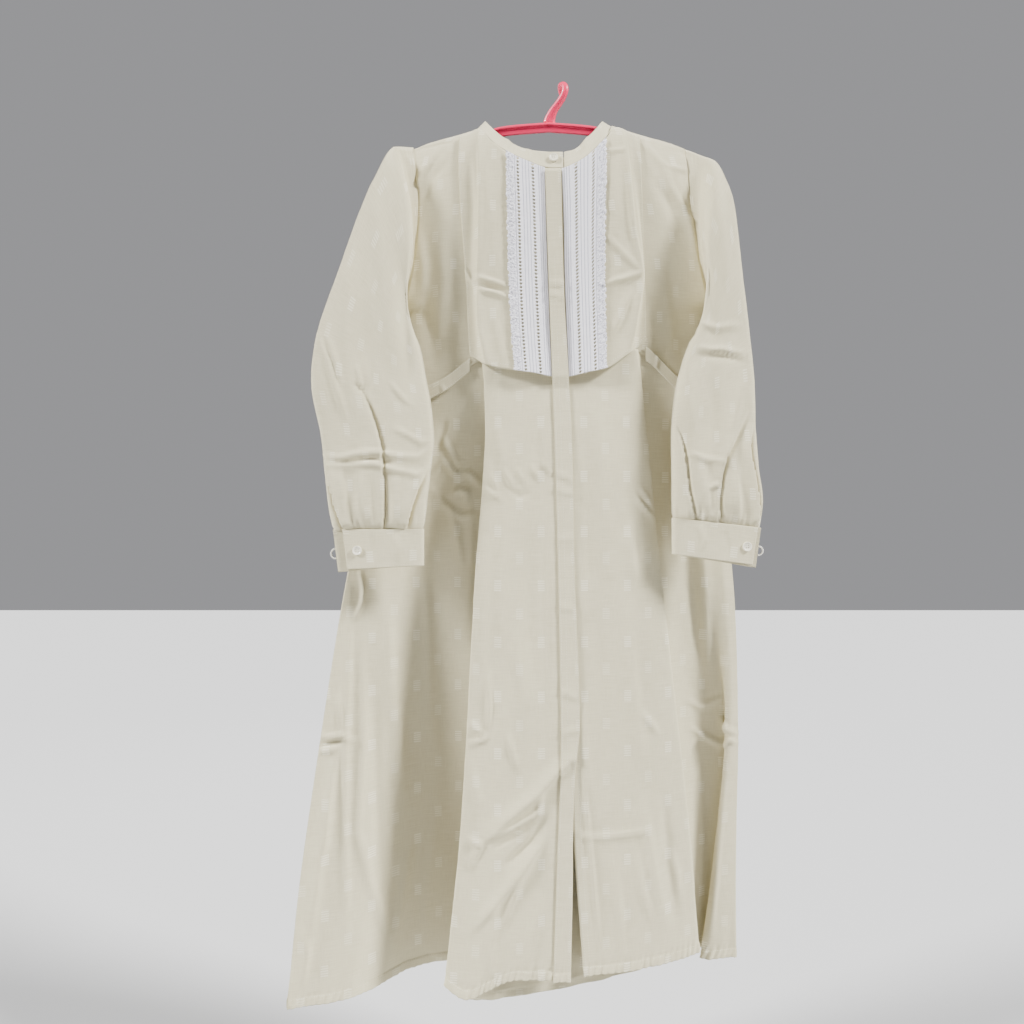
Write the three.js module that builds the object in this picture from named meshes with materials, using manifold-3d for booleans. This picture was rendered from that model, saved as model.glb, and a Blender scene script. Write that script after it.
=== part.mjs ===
// A long-sleeved A-line tunic with a band collar, a free-hanging bib, lace strips and a full-length
// placket, hanging on a one-piece plastic clothes hanger. Millimetres, +Z up, front towards -Y.
// The origin is where the inside of the hanger's hook rests on its support.
import * as THREE from "three";
import { mergeVertices } from "three/addons/utils/BufferGeometryUtils.js";
import Module from "manifold-3d";

const wasm = await Module();
wasm.setup();

// ---------------------------------------------------------------- driving sizes
const WALL = 1.2; // cloth, a single layer with its seam allowances
const LACE_WALL = 0.8;
const SEAM_GAP = 0.3; // left between pieces that are sewn edge to edge
const SEAM_HALF = SEAM_GAP / 2;
const WAIST_GAP = 2.5; // under the bands, where the skirt's pleats meet the bodice
const PLY = WALL + SEAM_GAP; // from one layer's middle to the middle of the one lying on it
const LACE_PLY = (WALL + LACE_WALL) / 2 + 3.5 * SEAM_GAP;
const BUTTON_RADIUS = 5.6;
const BUTTON_HEIGHT = 2.4;
const LOOP_CORD_RADIUS = 1.1;

const CENTRE_X = -9; // the bodice's middle line
const HANGER_X = -14; // the hanger's middle line

// One row for each side of the body: where the sleeve is set in, how far its seam bows to the middle.
const ARMHOLE = {
  l: { topX: -187, topZ: -76, pitX: -198, pitZ: -285, bow: 14, depth: 20, pitY: -4 },
  r: { topX: 157, topZ: -80.5, pitX: 188, pitZ: -285, bow: -8, depth: 20, pitY: -4 },
};

// Height of the shoulder fold over the hanger's arms, by distance from the hanger's middle.
const SHOULDER = [
  { d: 0, z: -40 },
  { d: 60, z: -45.5 },
  { d: 90, z: -54.5 },
  { d: 120, z: -62.5 },
  { d: 150, z: -70 },
  { d: 171, z: -78 },
  { d: 200, z: -84 },
];

// The front and back bodice's depth at the middle, by height.
const BODICE = [
  { z: -40, frontY: -41, backY: 30 },
  { z: -119, frontY: -41, backY: 30 },
  { z: -250, frontY: -38, backY: 31 },
  { z: -350, frontY: -39, backY: 33 },
  { z: -430, frontY: -42, backY: 36 },
];

const FRONT_TURN = 1.5; // how squarely the front turns to the armhole: 1 is straight
const BACK_TURN = { fromZ: -200, over: 230 }; // where the back's turn grows to that of its skirt
// How the cloth falls away from the shoulder fold: shares and reaches of its sharp and its slow turn.
const SLOPE = { near: 0.34, nearReach: 1.6, far: 0.66, farReach: 22 };
const SHOULDER_REACH = 40; // below the fold, where the arms still hold the cloth out
const ARM_CLEARANCE = 6.4; // the cloth's half depth where it lies over the arms
const ARM_WRAP = 1.2; // how far below the fold it reaches that depth
const FOLD_HALF = 0.8; // half depth between the front's and the back's edge along the shoulder fold

// The seam under the bust, by distance from the bodice's middle line.
const UNDERBUST = {
  l: [
    { d: 0, z: -338 },
    { d: 60, z: -344 },
    { d: 98, z: -354 },
    { d: 133, z: -379 },
    { d: 154, z: -390 },
    { d: 228, z: -430 },
  ],
  r: [
    { d: 0, z: -338 },
    { d: 60, z: -337 },
    { d: 98, z: -339 },
    { d: 116, z: -345 },
    { d: 130, z: -357 },
    { d: 151, z: -377 },
    { d: 212, z: -425 },
  ],
};

// Side seam of the bodice below the armhole.
const SIDE_SEAM = {
  l: [
    { z: -285, x: -198, y: -4 },
    { z: -350, x: -214, y: -12 },
    { z: -430, x: -236, y: -20 },
  ],
  r: [
    { z: -285, x: 188, y: -4 },
    { z: -350, x: 196, y: -9 },
    { z: -425, x: 203, y: -12 },
  ],
};

// Skirt sections from the underbust seam (t 0) to the hem (t 1), left of the placket: the centre panel
// folds back under itself at foldX, runs to innerX and returns to the recess and the side wing.
const SKIRT_L = [
  { t: 0, edgeX: -3, edgeY: -40, foldX: -98, panelY: -38.5, innerX: -84, underY: -35, deepY: -35,
    returnY: -31.5, recessX: -135, recessY: -27.5, wingX: -185, wingY: -20.5, seamX: -236, seamY: -20 },
  { t: 0.05, edgeX: -2, edgeY: -42, foldX: -95, panelY: -38.5, innerX: -77, underY: -35, deepY: -34,
    returnY: -29, recessX: -140, recessY: -23, wingX: -189, wingY: -20, seamX: -241, seamY: -21 },
  { t: 0.15, edgeX: 1, edgeY: -48, foldX: -94, panelY: -42, innerX: -62, underY: -35, deepY: -32,
    returnY: -25, recessX: -150, recessY: -12, wingX: -200, wingY: -20, seamX: -250, seamY: -25 },
  { t: 0.35, edgeX: 4, edgeY: -55, foldX: -105, panelY: -51, innerX: -15, underY: -41, deepY: -32,
    returnY: -23, recessX: -160, recessY: 0, wingX: -220, wingY: -22, seamX: -273, seamY: -36 },
  { t: 0.6, edgeX: 8, edgeY: -62, foldX: -115, panelY: -62, innerX: 45, underY: -50, deepY: -34,
    returnY: -22, recessX: -165, recessY: 10, wingX: -235, wingY: -30, seamX: -297.5, seamY: -50 },
  { t: 0.8, edgeX: 11.5, edgeY: -62, foldX: -125, panelY: -68, innerX: 93, underY: -54, deepY: -30,
    returnY: -19, recessX: -168, recessY: 16, wingX: -246, wingY: -37, seamX: -315, seamY: -61 },
  { t: 1, edgeX: 9, edgeY: -60, foldX: -141, panelY: -74, innerX: 141, underY: -58, deepY: -23,
    returnY: -13, recessX: -171, recessY: 20, wingX: -255, wingY: -44, seamX: -327, seamY: -70 },
];

// The same for the right of the placket: the panel folds back at foldX by undercut, runs into the
// recess, and a flap opens out of the side between innerX and flapX towards the hem.
const SKIRT_R = [
  { t: 0, edgeX: -2.2, edgeY: -40, foldX: 94, foldY: -34, undercut: 3, backY: -30.5, recessX: 135,
    recessY: -23, innerX: 155, flapX: 172, flapY: -17, seamX: 203, seamY: -12 },
  { t: 0.05, edgeX: -1.2, edgeY: -42, foldX: 98, foldY: -34.5, undercut: 5, backY: -30, recessX: 138,
    recessY: -19.5, innerX: 159, flapX: 176, flapY: -15.5, seamX: 205, seamY: -10.5 },
  { t: 0.15, edgeX: 1.8, edgeY: -48, foldX: 105, foldY: -39, undercut: 9, backY: -32, recessX: 145,
    recessY: -14, innerX: 168, flapX: 184, flapY: -13, seamX: 209, seamY: -8 },
  { t: 0.35, edgeX: 4.8, edgeY: -55, foldX: 120, foldY: -41, undercut: 12, backY: -29, recessX: 158,
    recessY: -2, innerX: 187, flapX: 203, flapY: -8, seamX: 221, seamY: -4 },
  { t: 0.6, edgeX: 8.8, edgeY: -62, foldX: 142, foldY: -36, undercut: 14, backY: -24, recessX: 174,
    recessY: 9, innerX: 215, flapX: 209, flapY: -5, seamX: 226, seamY: 0 },
  { t: 0.8, edgeX: 13.5, edgeY: -61, foldX: 159.5, foldY: -29, undercut: 14, backY: -17, recessX: 184,
    recessY: 12, innerX: 212, flapX: 197, flapY: -5, seamX: 223.5, seamY: 0 },
  { t: 1, edgeX: 25, edgeY: -58, foldX: 172.5, foldY: -22, undercut: 12, backY: -9, recessX: 188,
    recessY: 13, innerX: 208, flapX: 177.5, flapY: -5, seamX: 223.6, seamY: 0 },
];

// Heights of the hem, in the order of each section's guide lines.
const HEM_L = [-1098, -1094, -1112, -1099, -1121, -1119, -1101, -1098, -1102, -1122, -1127, -1125];
const HEM_R = [-1094, -1092, -1088, -1087, -1089, -1098, -1104, -1105, -1105, -1103, -1103, -1102];
const STEPS_L = [3, 3, 1, 1, 3, 3, 1, 1, 4, 3, 3]; // mesh columns between guide lines
const STEPS_R = [3, 3, 1, 1, 2, 1, 1, 1, 1, 1, 2];
const FOLD_INSET = { most: 24, share: 0.35 }; // where a folded layer starts to turn round its fold
const PANEL_BELLY = { l: 2, r: 4, full: 0.2 }; // the panels' forward swell, full from that t down
const FLAP_LEAD = 6; // from the flap's folds to where its cloth runs straight
const FLAP_BLENDS = [0.02, 0.2, 0.5, 0.8]; // shares of its depth at the lines between recess and flap
const SKIRT_T = [0, 0.025, 0.06, 0.12, 0.2, 0.29, 0.39, 0.5, 0.6, 0.7, 0.8, 0.9, 1];

// The back below the bust: depth at the middle, and how squarely it turns to each side seam.
const BACK = [
  { t: 0, middleY: 36, turnL: 2.8, turnR: 2.8 },
  { t: 0.5, middleY: 46, turnL: 3.2, turnR: 8.5 },
  { t: 1, middleY: 54, turnL: 3.6, turnR: 9 },
];
const BACK_HEM = [-1125, -1119, -1113, -1116, -1109, -1112, -1105, -1102];
const BACK_FLUTES = { count: 3.5, depth: 6 }; // soft waves across the back at the hem

// Bib halves: inner edge at the placket, lace edges, the fold and the outer edge of its side strip.
const BIB_L = [
  { z: -118, innerX: -14, laceInX: -21, laceMidX: -45, laceOutX: -68, foldX: -103, outerX: -127 },
  { z: -175, innerX: -13, laceInX: -19.5, laceMidX: -43, laceOutX: -67, foldX: -103, outerX: -123.5 },
  { z: -258, innerX: -11, laceInX: -17, laceMidX: -41, laceOutX: -65, foldX: -102, outerX: -117.5 },
  { z: -330, innerX: -8, laceInX: -14.5, laceMidX: -38, laceOutX: -61, foldX: -96, outerX: -114 },
  { z: -374, innerX: -6, laceInX: -12.8, laceMidX: -35, laceOutX: -57.5, foldX: -90, outerX: -110 },
];
const BIB_R = [
  { z: -118, innerX: -8, laceInX: -1, laceMidX: 27, laceOutX: 54, foldX: 82, outerX: 98 },
  { z: -175, innerX: -6, laceInX: 1.5, laceMidX: 27, laceOutX: 52.5, foldX: 91, outerX: 99.5 },
  { z: -250, innerX: -3, laceInX: 3, laceMidX: 28, laceOutX: 52, foldX: 98.5, outerX: 102.5 },
  { z: -330, innerX: 0, laceInX: 6, laceMidX: 30, laceOutX: 53, foldX: 83, outerX: 104.5 },
  { z: -374, innerX: 2, laceInX: 7.7, laceMidX: 31, laceOutX: 53.5, foldX: 74, outerX: 103.5 },
];
const BIB_END = {
  l: [-374, -374, -370, -367, -364, -359, -352, -346],
  r: [-374, -374, -369, -364, -357, -346, -336, -327],
};
// Each of those lines: how far it stands off the bodice, at the collar and at the bib's free end.
const BIB_LINES = [
  { name: "innerX", top: 1.8, end: 5.5 },
  { name: "laceInX", top: 1.8, end: 6.5 },
  { name: "laceMidX", top: 2.8, end: 12 },
  { name: "laceOutX", top: 3.4, end: 13 },
  { name: "sideX", top: 5, end: 12 },
  { name: "foldX", top: 6, end: 11.5 },
  { name: "stripX", top: 3.6, end: 4 },
  { name: "outerX", top: 3.2, end: 3.2 },
];
const LIFT_GROWTH = 1.4; // above 1 the lift gathers towards the free end
const LACE_COLUMNS = 3; // from the lace's inner edge to its outer edge
const BIB_BELOW_SHOULDER = 9;
const BIB_BELOW_COLLAR = 2.4;
const BIB_V = [0, 0.025, 0.07, 0.14, 0.25, 0.39, 0.54, 0.69, 0.84, 1];

// The placket strip's two edges from the collar to the hem.
const PLACKET_Y = { collar: -45.4, bibEnd: -49.4 };
const PLACKET_BIB_END = -376;
const PLACKET_ROWS = 5;
const PLACKET_FIRST_SKIRT_ROW = 3;
const PLACKET = [
  { z: -121, leftX: -21, rightX: -1.6 },
  { z: -264, leftX: -16.3, rightX: 1.8 },
  { z: -340, leftX: -13.6, rightX: 5.6 },
  { z: -377, leftX: -12.2, rightX: 7.7 },
  { z: -452, leftX: -9.5, rightX: 11.5 },
  { z: -603, leftX: -5.9, rightX: 13.8 },
  { z: -792, leftX: -2.8, rightX: 19.5 },
  { z: -850, leftX: -3.5, rightX: 14 },
  { z: -945, leftX: -7, rightX: 11.2 },
  { z: -1097, leftX: -12, rightX: 8.6 },
];

// Collar band, front overlap to front overlap by way of the left, back and right: seam and top edge.
const COLLAR = [
  { x: 1.5, z: -118, topX: 1.5, topY: -33, topZ: -96 },
  { x: -20.8, z: -116.8, topX: -20.4, topY: -33, topZ: -95.5 },
  { x: -51.2, z: -103.5, topX: -49, topY: -27, topZ: -88 },
  { x: -75.9, z: -89, topX: -72, topY: -20, topZ: -72 },
  { x: -96, z: -69, topX: -87, topY: -11, topZ: -55 },
  { x: -106.5, z: -55, topX: -95, topY: 0, topZ: -42.4 },
  { x: -97, z: -68, topX: -88, topY: 11, topZ: -50 },
  { x: -72, z: -87, topX: -67, topY: 20, topZ: -67 },
  { x: -40, z: -97, topX: -38, topY: 24, topZ: -76 },
  { x: -13, z: -99, topX: -13, topY: 25, topZ: -78 },
  { x: 16, z: -96, topX: 14, topY: 24, topZ: -75 },
  { x: 41, z: -84, topX: 36, topY: 19, topZ: -64 },
  { x: 58, z: -68, topX: 48, topY: 11, topZ: -50 },
  { x: 65, z: -50.6, topX: 53.4, topY: 0, topZ: -42.4 },
  { x: 57, z: -72, topX: 46, topY: -11, topZ: -55 },
  { x: 41.5, z: -91, topX: 33, topY: -20, topZ: -72 },
  { x: 22.1, z: -107.7, topX: 17, topY: -28, topZ: -90 },
  { x: 2.8, z: -118, topX: 2.8, topY: -33, topZ: -96 },
];
const COLLAR_STEPS = 2;

// Sleeve rings from just off the armhole to the cuff: the underarm and the outer silhouette, the
// middle depth, half depths to front and back, and the bow of the ring's front.
const SLEEVE_L = [
  { inX: -201, inZ: -290, outX: -206, outZ: -79, y: -10, front: 16, back: 24, bow: 16, backBow: 6 },
  { inX: -202, inZ: -297, outX: -210, outZ: -86, y: -20, front: 22, back: 26, bow: 24, backBow: -2 },
  { inX: -197, inZ: -307, outX: -219, outZ: -106, y: -31, front: 23, back: 18, bow: 22, backBow: -4 },
  { inX: -180, inZ: -322, outX: -243, outZ: -163, y: -38, front: 21, back: 16, bow: 8, backBow: -4 },
  { inX: -171, inZ: -345, outX: -272, outZ: -248, y: -44, front: 20, back: 13, bow: 0, backBow: 0 },
  { inX: -165, inZ: -378, outX: -296, outZ: -322, y: -48, front: 18, back: 13, bow: 0, backBow: 0 },
  { inX: -159, inZ: -408, outX: -303, outZ: -383, y: -50, front: 18, back: 13, bow: 0, backBow: 0 },
  { inX: -155, inZ: -450, outX: -291, outZ: -445, y: -52, front: 17, back: 13, bow: 0, backBow: 0 },
  { inX: -159, inZ: -490, outX: -286, outZ: -490, y: -54, front: 16, back: 12, bow: 0, backBow: 0 },
  { inX: -163, inZ: -525, outX: -281, outZ: -530, y: -55, front: 14, back: 11, bow: 0, backBow: 0 },
  { inX: -167, inZ: -560, outX: -275.5, outZ: -561, y: -56, front: 11, back: 9, bow: 0, backBow: 0 },
];
const SLEEVE_R = [
  { inX: 191, inZ: -290, outX: 176, outZ: -91, y: -10, front: 16, back: 24, bow: -10, backBow: -4 },
  { inX: 193, inZ: -297, outX: 192, outZ: -104, y: -20, front: 22, back: 26, bow: -20, backBow: 2 },
  { inX: 188, inZ: -306, outX: 201, outZ: -130, y: -31, front: 23, back: 18, bow: -20, backBow: 3 },
  { inX: 168, inZ: -320, outX: 209.5, outZ: -165, y: -38, front: 21, back: 16, bow: -8, backBow: 3 },
  { inX: 153, inZ: -338, outX: 217, outZ: -246, y: -44, front: 20, back: 13, bow: 0, backBow: 0 },
  { inX: 142, inZ: -368, outX: 223.5, outZ: -310, y: -48, front: 18, back: 13, bow: 0, backBow: 0 },
  { inX: 135, inZ: -398, outX: 230, outZ: -374, y: -50, front: 18, back: 13, bow: 0, backBow: 0 },
  { inX: 131, inZ: -440, outX: 231.5, outZ: -433, y: -52, front: 17, back: 13, bow: 0, backBow: 0 },
  { inX: 131, inZ: -480, outX: 234.5, outZ: -482, y: -54, front: 16, back: 12, bow: 0, backBow: 0 },
  { inX: 131, inZ: -515, outX: 239.5, outZ: -522, y: -55, front: 14, back: 11, bow: 0, backBow: 0 },
  { inX: 131.5, inZ: -547, outX: 237, outZ: -559, y: -56, front: 11, back: 9, bow: 0, backBow: 0 },
];
const SLEEVE_FRONT_COLUMNS = 13;
const SLEEVE_BACK_COLUMNS = 7;
const FULLNESS = 0.62; // flattens the sleeve's ring: 1 is an ellipse, less is squarer
// Soft pleats that rise from the cuff: their place as a share of the sleeve's breadth, and depth.
const PLEATS = {
  l: [{ at: 0.27, depth: 4.5 }, { at: 0.6, depth: 5 }],
  r: [{ at: 0.3, depth: 5 }, { at: 0.66, depth: 4.5 }],
};
const PLEAT_ROWS = 5;
const PLEAT_WIDTH = 0.11;
const HEAD_GAP = { out: 1.2, down: 2, up: 0.3 }; // from the armhole seam to the sleeve's first ring
const SLEEVE_SLIT = 0.004; // share of a turn left open along the underarm seam

// Cuffs: a strip round the wrist, open at its outer end; top and bottom edge of each end.
const CUFF = {
  l: {
    inX: -166.5, outX: -274.5, lapX: -262, taper: 6, inZ: -560.6, outZ: -561.6, height: 41, heightOut: 45,
  },
  r: {
    inX: 131, outX: 236, lapX: 231, taper: -6, inZ: -547.4, outZ: -559.4, height: 40.5, heightOut: 42,
  },
};
const CUFF_DEPTH = { y: -56, front: 11, back: 9 };
const CUFF_COLUMNS = 9; // over its front, and again over its back
const CUFF_TURNS = { underarm: 0.02, backEnd: 0.515 }; // places round the ring
const BUTTONS = {
  cuff_button_l: { side: "l", x: -244.5, z: -583.5 },
  cuff_button_r: { side: "r", x: 218, z: -579 },
};
const LOOPS = {
  cuff_loop_l: { x: -272.4, z: -588, reach: -6, length: 12 },
  cuff_loop_r: { x: 234.3, z: -584.5, reach: 6, length: 11 },
};
const COLLAR_BUTTON = { x: -10.2, y: -37.6, z: -105.2, lean: -0.33 };

// Hanger: T-section arms on an arched line, and a hook that leans and curls back over its support.
const ARM_HALF_LENGTH = 168;
const ARM_SECTION = [
  [-2.6, 0], [2.6, 0], [4, -1.4], [4, -3.6], [1.8, -4.4], [1.8, -11.5], [-1.8, -11.5], [-1.8, -4.4],
  [-4, -3.6], [-4, -1.4],
];
const ARM_DROP = 4; // from the cloth's shoulder fold down to the arm
const HOOK = [
  { x: -14, y: 0, z: -45, wide: 8, thick: 3.4 },
  { x: -12.5, y: -0.8, z: -38, wide: 6.8, thick: 3.4 },
  { x: -8, y: -3, z: -29, wide: 5.2, thick: 3.4 },
  { x: -1, y: -6, z: -20.5, wide: 4.6, thick: 3.4 },
  { x: 4.5, y: -9, z: -12, wide: 4.4, thick: 3.4 },
  { x: 6, y: -9.5, z: -4, wide: 4.3, thick: 3.4 },
  { x: 4, y: -6, z: 1.8, wide: 4.1, thick: 3.4 },
  { x: 1, y: 0, z: 3.7, wide: 3.9, thick: 3.4 },
  { x: 1.5, y: 6.2, z: 1.6, wide: 3.8, thick: 3.4 },
  { x: 3.5, y: 9.5, z: -4.5, wide: 3.6, thick: 3.2 },
  { x: 4.5, y: 10, z: -11.5, wide: 3, thick: 2.8 },
];

// ---------------------------------------------------------------- finishes
const FINISH = {
  cloth: { color: 0xcfcdb6, roughness: 0.9, metalness: 0 },
  lace: { color: 0xf0eef2, roughness: 0.95, metalness: 0 },
  button: { color: 0xe8e4cd, roughness: 0.35, metalness: 0 },
  cord: { color: 0xebe8da, roughness: 0.85, metalness: 0 },
  plastic: { color: 0xf04b6e, roughness: 0.4, metalness: 0 },
};

// ---------------------------------------------------------------- tables and curves
const lerp = (a, b, t) => a + (b - a) * t;
const clamp = (value, low, high) => Math.min(high, Math.max(low, value));

// Every column of a table at one value of its first column, as a smooth curve through the rows.
function rowAt(rows, value) {
  const keys = Object.keys(rows[0]);
  const key = keys[0];
  const rising = rows[rows.length - 1][key] > rows[0][key];
  let i = 0;
  while (i < rows.length - 2 && (rising ? value > rows[i + 1][key] : value < rows[i + 1][key])) i += 1;
  const [a, b] = [rows[i], rows[i + 1]];
  const before = rows[i - 1] ?? a;
  const after = rows[i + 2] ?? b;
  const span = b[key] - a[key];
  const s = clamp((value - a[key]) / span, 0, 1);
  const row = {};
  for (const k of keys) {
    const slopeA = before === a ? (b[k] - a[k]) / span : (b[k] - before[k]) / (b[key] - before[key]);
    const slopeB = after === b ? (b[k] - a[k]) / span : (after[k] - a[k]) / (after[key] - a[key]);
    row[k] = (2 * s ** 3 - 3 * s ** 2 + 1) * a[k] + (s ** 3 - 2 * s ** 2 + s) * span * slopeA
      + (3 * s ** 2 - 2 * s ** 3) * b[k] + (s ** 3 - s ** 2) * span * slopeB;
  }
  return row;
}

// Points on a smooth curve through the guides, with a number of steps between each pair of them.
function through(guides, steps) {
  const curve = new THREE.CatmullRomCurve3(guides, false, "centripetal");
  const points = [];
  const spans = guides.length - 1;
  for (let i = 0; i < spans; i += 1) {
    for (let k = 0; k < steps[i]; k += 1) points.push(curve.getPoint((i + k / steps[i]) / spans));
  }
  points.push(guides[spans].clone());
  return points;
}

// A patch between four edges, with its rows at given places between the top and the bottom edge.
function patch(places, top, bottom, inner, outer) {
  const columns = top.length - 1;
  return places.map((v, i) => top.map((_, j) => {
    const u = j / columns;
    const p = new THREE.Vector3();
    p.addScaledVector(top[j], 1 - v).addScaledVector(bottom[j], v);
    p.addScaledVector(inner[i], 1 - u).addScaledVector(outer[i], u);
    p.addScaledVector(top[0], -(1 - u) * (1 - v)).addScaledVector(top[columns], -u * (1 - v));
    p.addScaledVector(bottom[0], -(1 - u) * v).addScaledVector(bottom[columns], -u * v);
    return p;
  }));
}

// ---------------------------------------------------------------- solids from grids
function normalsOf(grid) {
  return grid.map((row, i) => row.map((_, j) => {
    const across = new THREE.Vector3().subVectors(
      row[Math.min(j + 1, row.length - 1)], row[Math.max(j - 1, 0)]);
    const down = new THREE.Vector3().subVectors(
      grid[Math.min(i + 1, grid.length - 1)][j], grid[Math.max(i - 1, 0)][j]);
    return across.cross(down).normalize();
  }));
}

// The grid's points moved along its normals; its columns run so that the normals face outwards.
function moved(grid, distance) {
  const normals = normalsOf(grid);
  return grid.map((row, i) => row.map((p, j) => p.clone().addScaledVector(normals[i][j], distance)));
}

// A closed wall of the given thickness with the grid as its middle surface.
function wall(grid, thickness = WALL) {
  const faces = [moved(grid, thickness / 2), moved(grid, -thickness / 2)];
  const rows = grid.length;
  const columns = grid[0].length;
  const at = (side, i, j) => side * rows * columns + i * columns + j;
  const index = [];
  const quad = (a, b, c, d) => index.push(a, b, c, a, c, d);
  for (let i = 0; i < rows - 1; i += 1) {
    for (let j = 0; j < columns - 1; j += 1) {
      quad(at(0, i, j), at(0, i, j + 1), at(0, i + 1, j + 1), at(0, i + 1, j));
      quad(at(1, i + 1, j), at(1, i + 1, j + 1), at(1, i, j + 1), at(1, i, j));
    }
    quad(at(0, i + 1, columns - 1), at(0, i, columns - 1), at(1, i, columns - 1), at(1, i + 1, columns - 1));
    quad(at(0, i, 0), at(0, i + 1, 0), at(1, i + 1, 0), at(1, i, 0));
  }
  for (let j = 0; j < columns - 1; j += 1) {
    quad(at(0, 0, j + 1), at(0, 0, j), at(1, 0, j), at(1, 0, j + 1));
    quad(at(0, rows - 1, j), at(0, rows - 1, j + 1), at(1, rows - 1, j + 1), at(1, rows - 1, j));
  }
  return geometryOf(faces.flat(2), index);
}

// A closed body through rings of equal point counts, capped at both ends.
function loft(rings) {
  const n = rings[0].length;
  const index = [];
  for (let i = 0; i < rings.length - 1; i += 1) {
    for (let j = 0; j < n; j += 1) {
      const [a, b] = [i * n + j, i * n + (j + 1) % n];
      index.push(a, b, b + n, a, b + n, a + n);
    }
  }
  const last = (rings.length - 1) * n;
  for (let j = 1; j < n - 1; j += 1) {
    index.push(0, j + 1, j);
    index.push(last, last + j, last + j + 1);
  }
  return geometryOf(rings.flat(), index);
}

function geometryOf(points, index) {
  const geometry = new THREE.BufferGeometry();
  const numbers = points.flatMap((p) => p.toArray());
  geometry.setAttribute("position", new THREE.Float32BufferAttribute(numbers, 3));
  geometry.setIndex(index);
  return geometry;
}

// Rings of a bar along a path: each ring spans the path's side and face directions.
function barRings(path, outline) {
  const curve = new THREE.CatmullRomCurve3(path.map((r) => new THREE.Vector3(r.x, r.y, r.z)));
  return path.map((r, i) => {
    const along = curve.getTangent(i / (path.length - 1));
    const side = new THREE.Vector3(1, 0, 0).addScaledVector(along, -along.x).normalize();
    const face = new THREE.Vector3().crossVectors(along, side);
    return outline(r).map(([s, f]) => new THREE.Vector3(r.x, r.y, r.z)
      .addScaledVector(side, s).addScaledVector(face, f));
  });
}

function solidOf(geometry) {
  const merged = mergeVertices(geometry, 1e-4);
  return new wasm.Manifold(new wasm.Mesh({
    numProp: 3,
    vertProperties: merged.attributes.position.array,
    triVerts: new Uint32Array(merged.index.array),
  }));
}

function joined(...geometries) {
  const whole = geometries.map(solidOf).reduce((a, b) => a.add(b)).getMesh();
  const geometry = new THREE.BufferGeometry();
  geometry.setAttribute("position", new THREE.Float32BufferAttribute(whole.vertProperties, 3));
  geometry.setIndex(Array.from(whole.triVerts));
  return geometry;
}

// ---------------------------------------------------------------- the body's form
const sideOf = (x) => (x < CENTRE_X ? "l" : "r");
const shoulderZ = (x) => rowAt(SHOULDER, Math.abs(x - HANGER_X)).z;
const seamZ = (x, side) => rowAt(UNDERBUST[side], Math.abs(x - CENTRE_X)).z;

// The armhole seam at a height: its x, and its depth in front of or behind the middle.
function armholeAt(side, z) {
  const a = ARMHOLE[side];
  const cos = clamp((z - (a.topZ + a.pitZ) / 2) / ((a.topZ - a.pitZ) / 2), -1, 1);
  const sin = Math.sqrt(1 - cos * cos);
  const x = lerp(a.pitX, a.topX, (cos + 1) / 2) + a.bow * sin * sin;
  return { x, middle: lerp(a.pitY, 0, (cos + 1) / 2), depth: a.depth * sin ** FULLNESS };
}

// The body's edge at a height: on the armhole, and below it on the side seam.
function edgeAt(side, z, facing) {
  if (z > ARMHOLE[side].pitZ) {
    const a = armholeAt(side, z);
    return { x: a.x, y: a.middle + facing * Math.max(a.depth, PLY / 2) };
  }
  const seam = rowAt(SIDE_SEAM[side], z);
  return { x: seam.x, y: seam.y + (facing * PLY) / 2 };
}

// Depth of the front (facing -1) or back (facing 1) of the bodice at a place.
function bodiceY(x, z, facing) {
  const side = sideOf(x);
  const edge = edgeAt(side, Math.min(z, ARMHOLE[side].topZ - 6), facing);
  const row = rowAt(BODICE, z);
  const middle = facing < 0 ? row.frontY : row.backY;
  const out = clamp(Math.abs(x - CENTRE_X) / Math.abs(edge.x - CENTRE_X), 0, 1);
  const below = Math.max(0, shoulderZ(x) - z);
  const grown = facing < 0 ? 0 : clamp((BACK_TURN.fromZ - z) / BACK_TURN.over, 0, 1);
  const turn = lerp(FRONT_TURN, BACK[0].turnL, grown);
  const slope = 1 - SLOPE.far * Math.exp(-below / SLOPE.farReach)
    - SLOPE.near * Math.exp(-below / SLOPE.nearReach);
  const hang = lerp(middle, edge.y, out ** turn) * slope;
  const overArm = ARM_CLEARANCE * (1 - Math.exp(-below / ARM_WRAP));
  return below < SHOULDER_REACH ? facing * Math.max(facing * hang, overArm) : hang;
}

// Collar seam points, the front ones lying on the front and the others on the back of the bodice.
const collarSeam = COLLAR.map((c, i) => {
  const facing = i < 5 || i > 13 ? -1 : 1;
  const onFold = i === 5 || i === 13;
  return new THREE.Vector3(c.x, onFold ? 0 : bodiceY(c.x, c.z, facing), c.z);
});
const collarTop = COLLAR.map((c) => new THREE.Vector3(c.topX, c.topY, c.topZ));
const NECK = { l: 5, r: 13 }; // where the shoulder folds meet the collar, as rows of its table

// ---------------------------------------------------------------- bodice fronts and back
const BODICE_V = [0, 0.006, 0.02, 0.05, 0.1, 0.18, 0.28, 0.4, 0.52, 0.64, 0.76, 0.88, 1];
const NECK_STEPS = 5;
const SHOULDER_STEPS = 3;
const NECK_GAP = { out: 1.1, down: 1.3 }; // body panels stand this far outside the collar's seam

const COLLAR_MIDDLE = { x: -20, halfWidth: 86 };
const NECK_MIDDLE = { x: -11, z: -117.6 }; // where the two fronts meet under the placket

function outsideCollar(points) {
  return points.map((p) => new THREE.Vector3(
    p.x + (NECK_GAP.out * (p.x - COLLAR_MIDDLE.x)) / COLLAR_MIDDLE.halfWidth, p.y, p.z - NECK_GAP.down));
}

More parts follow.
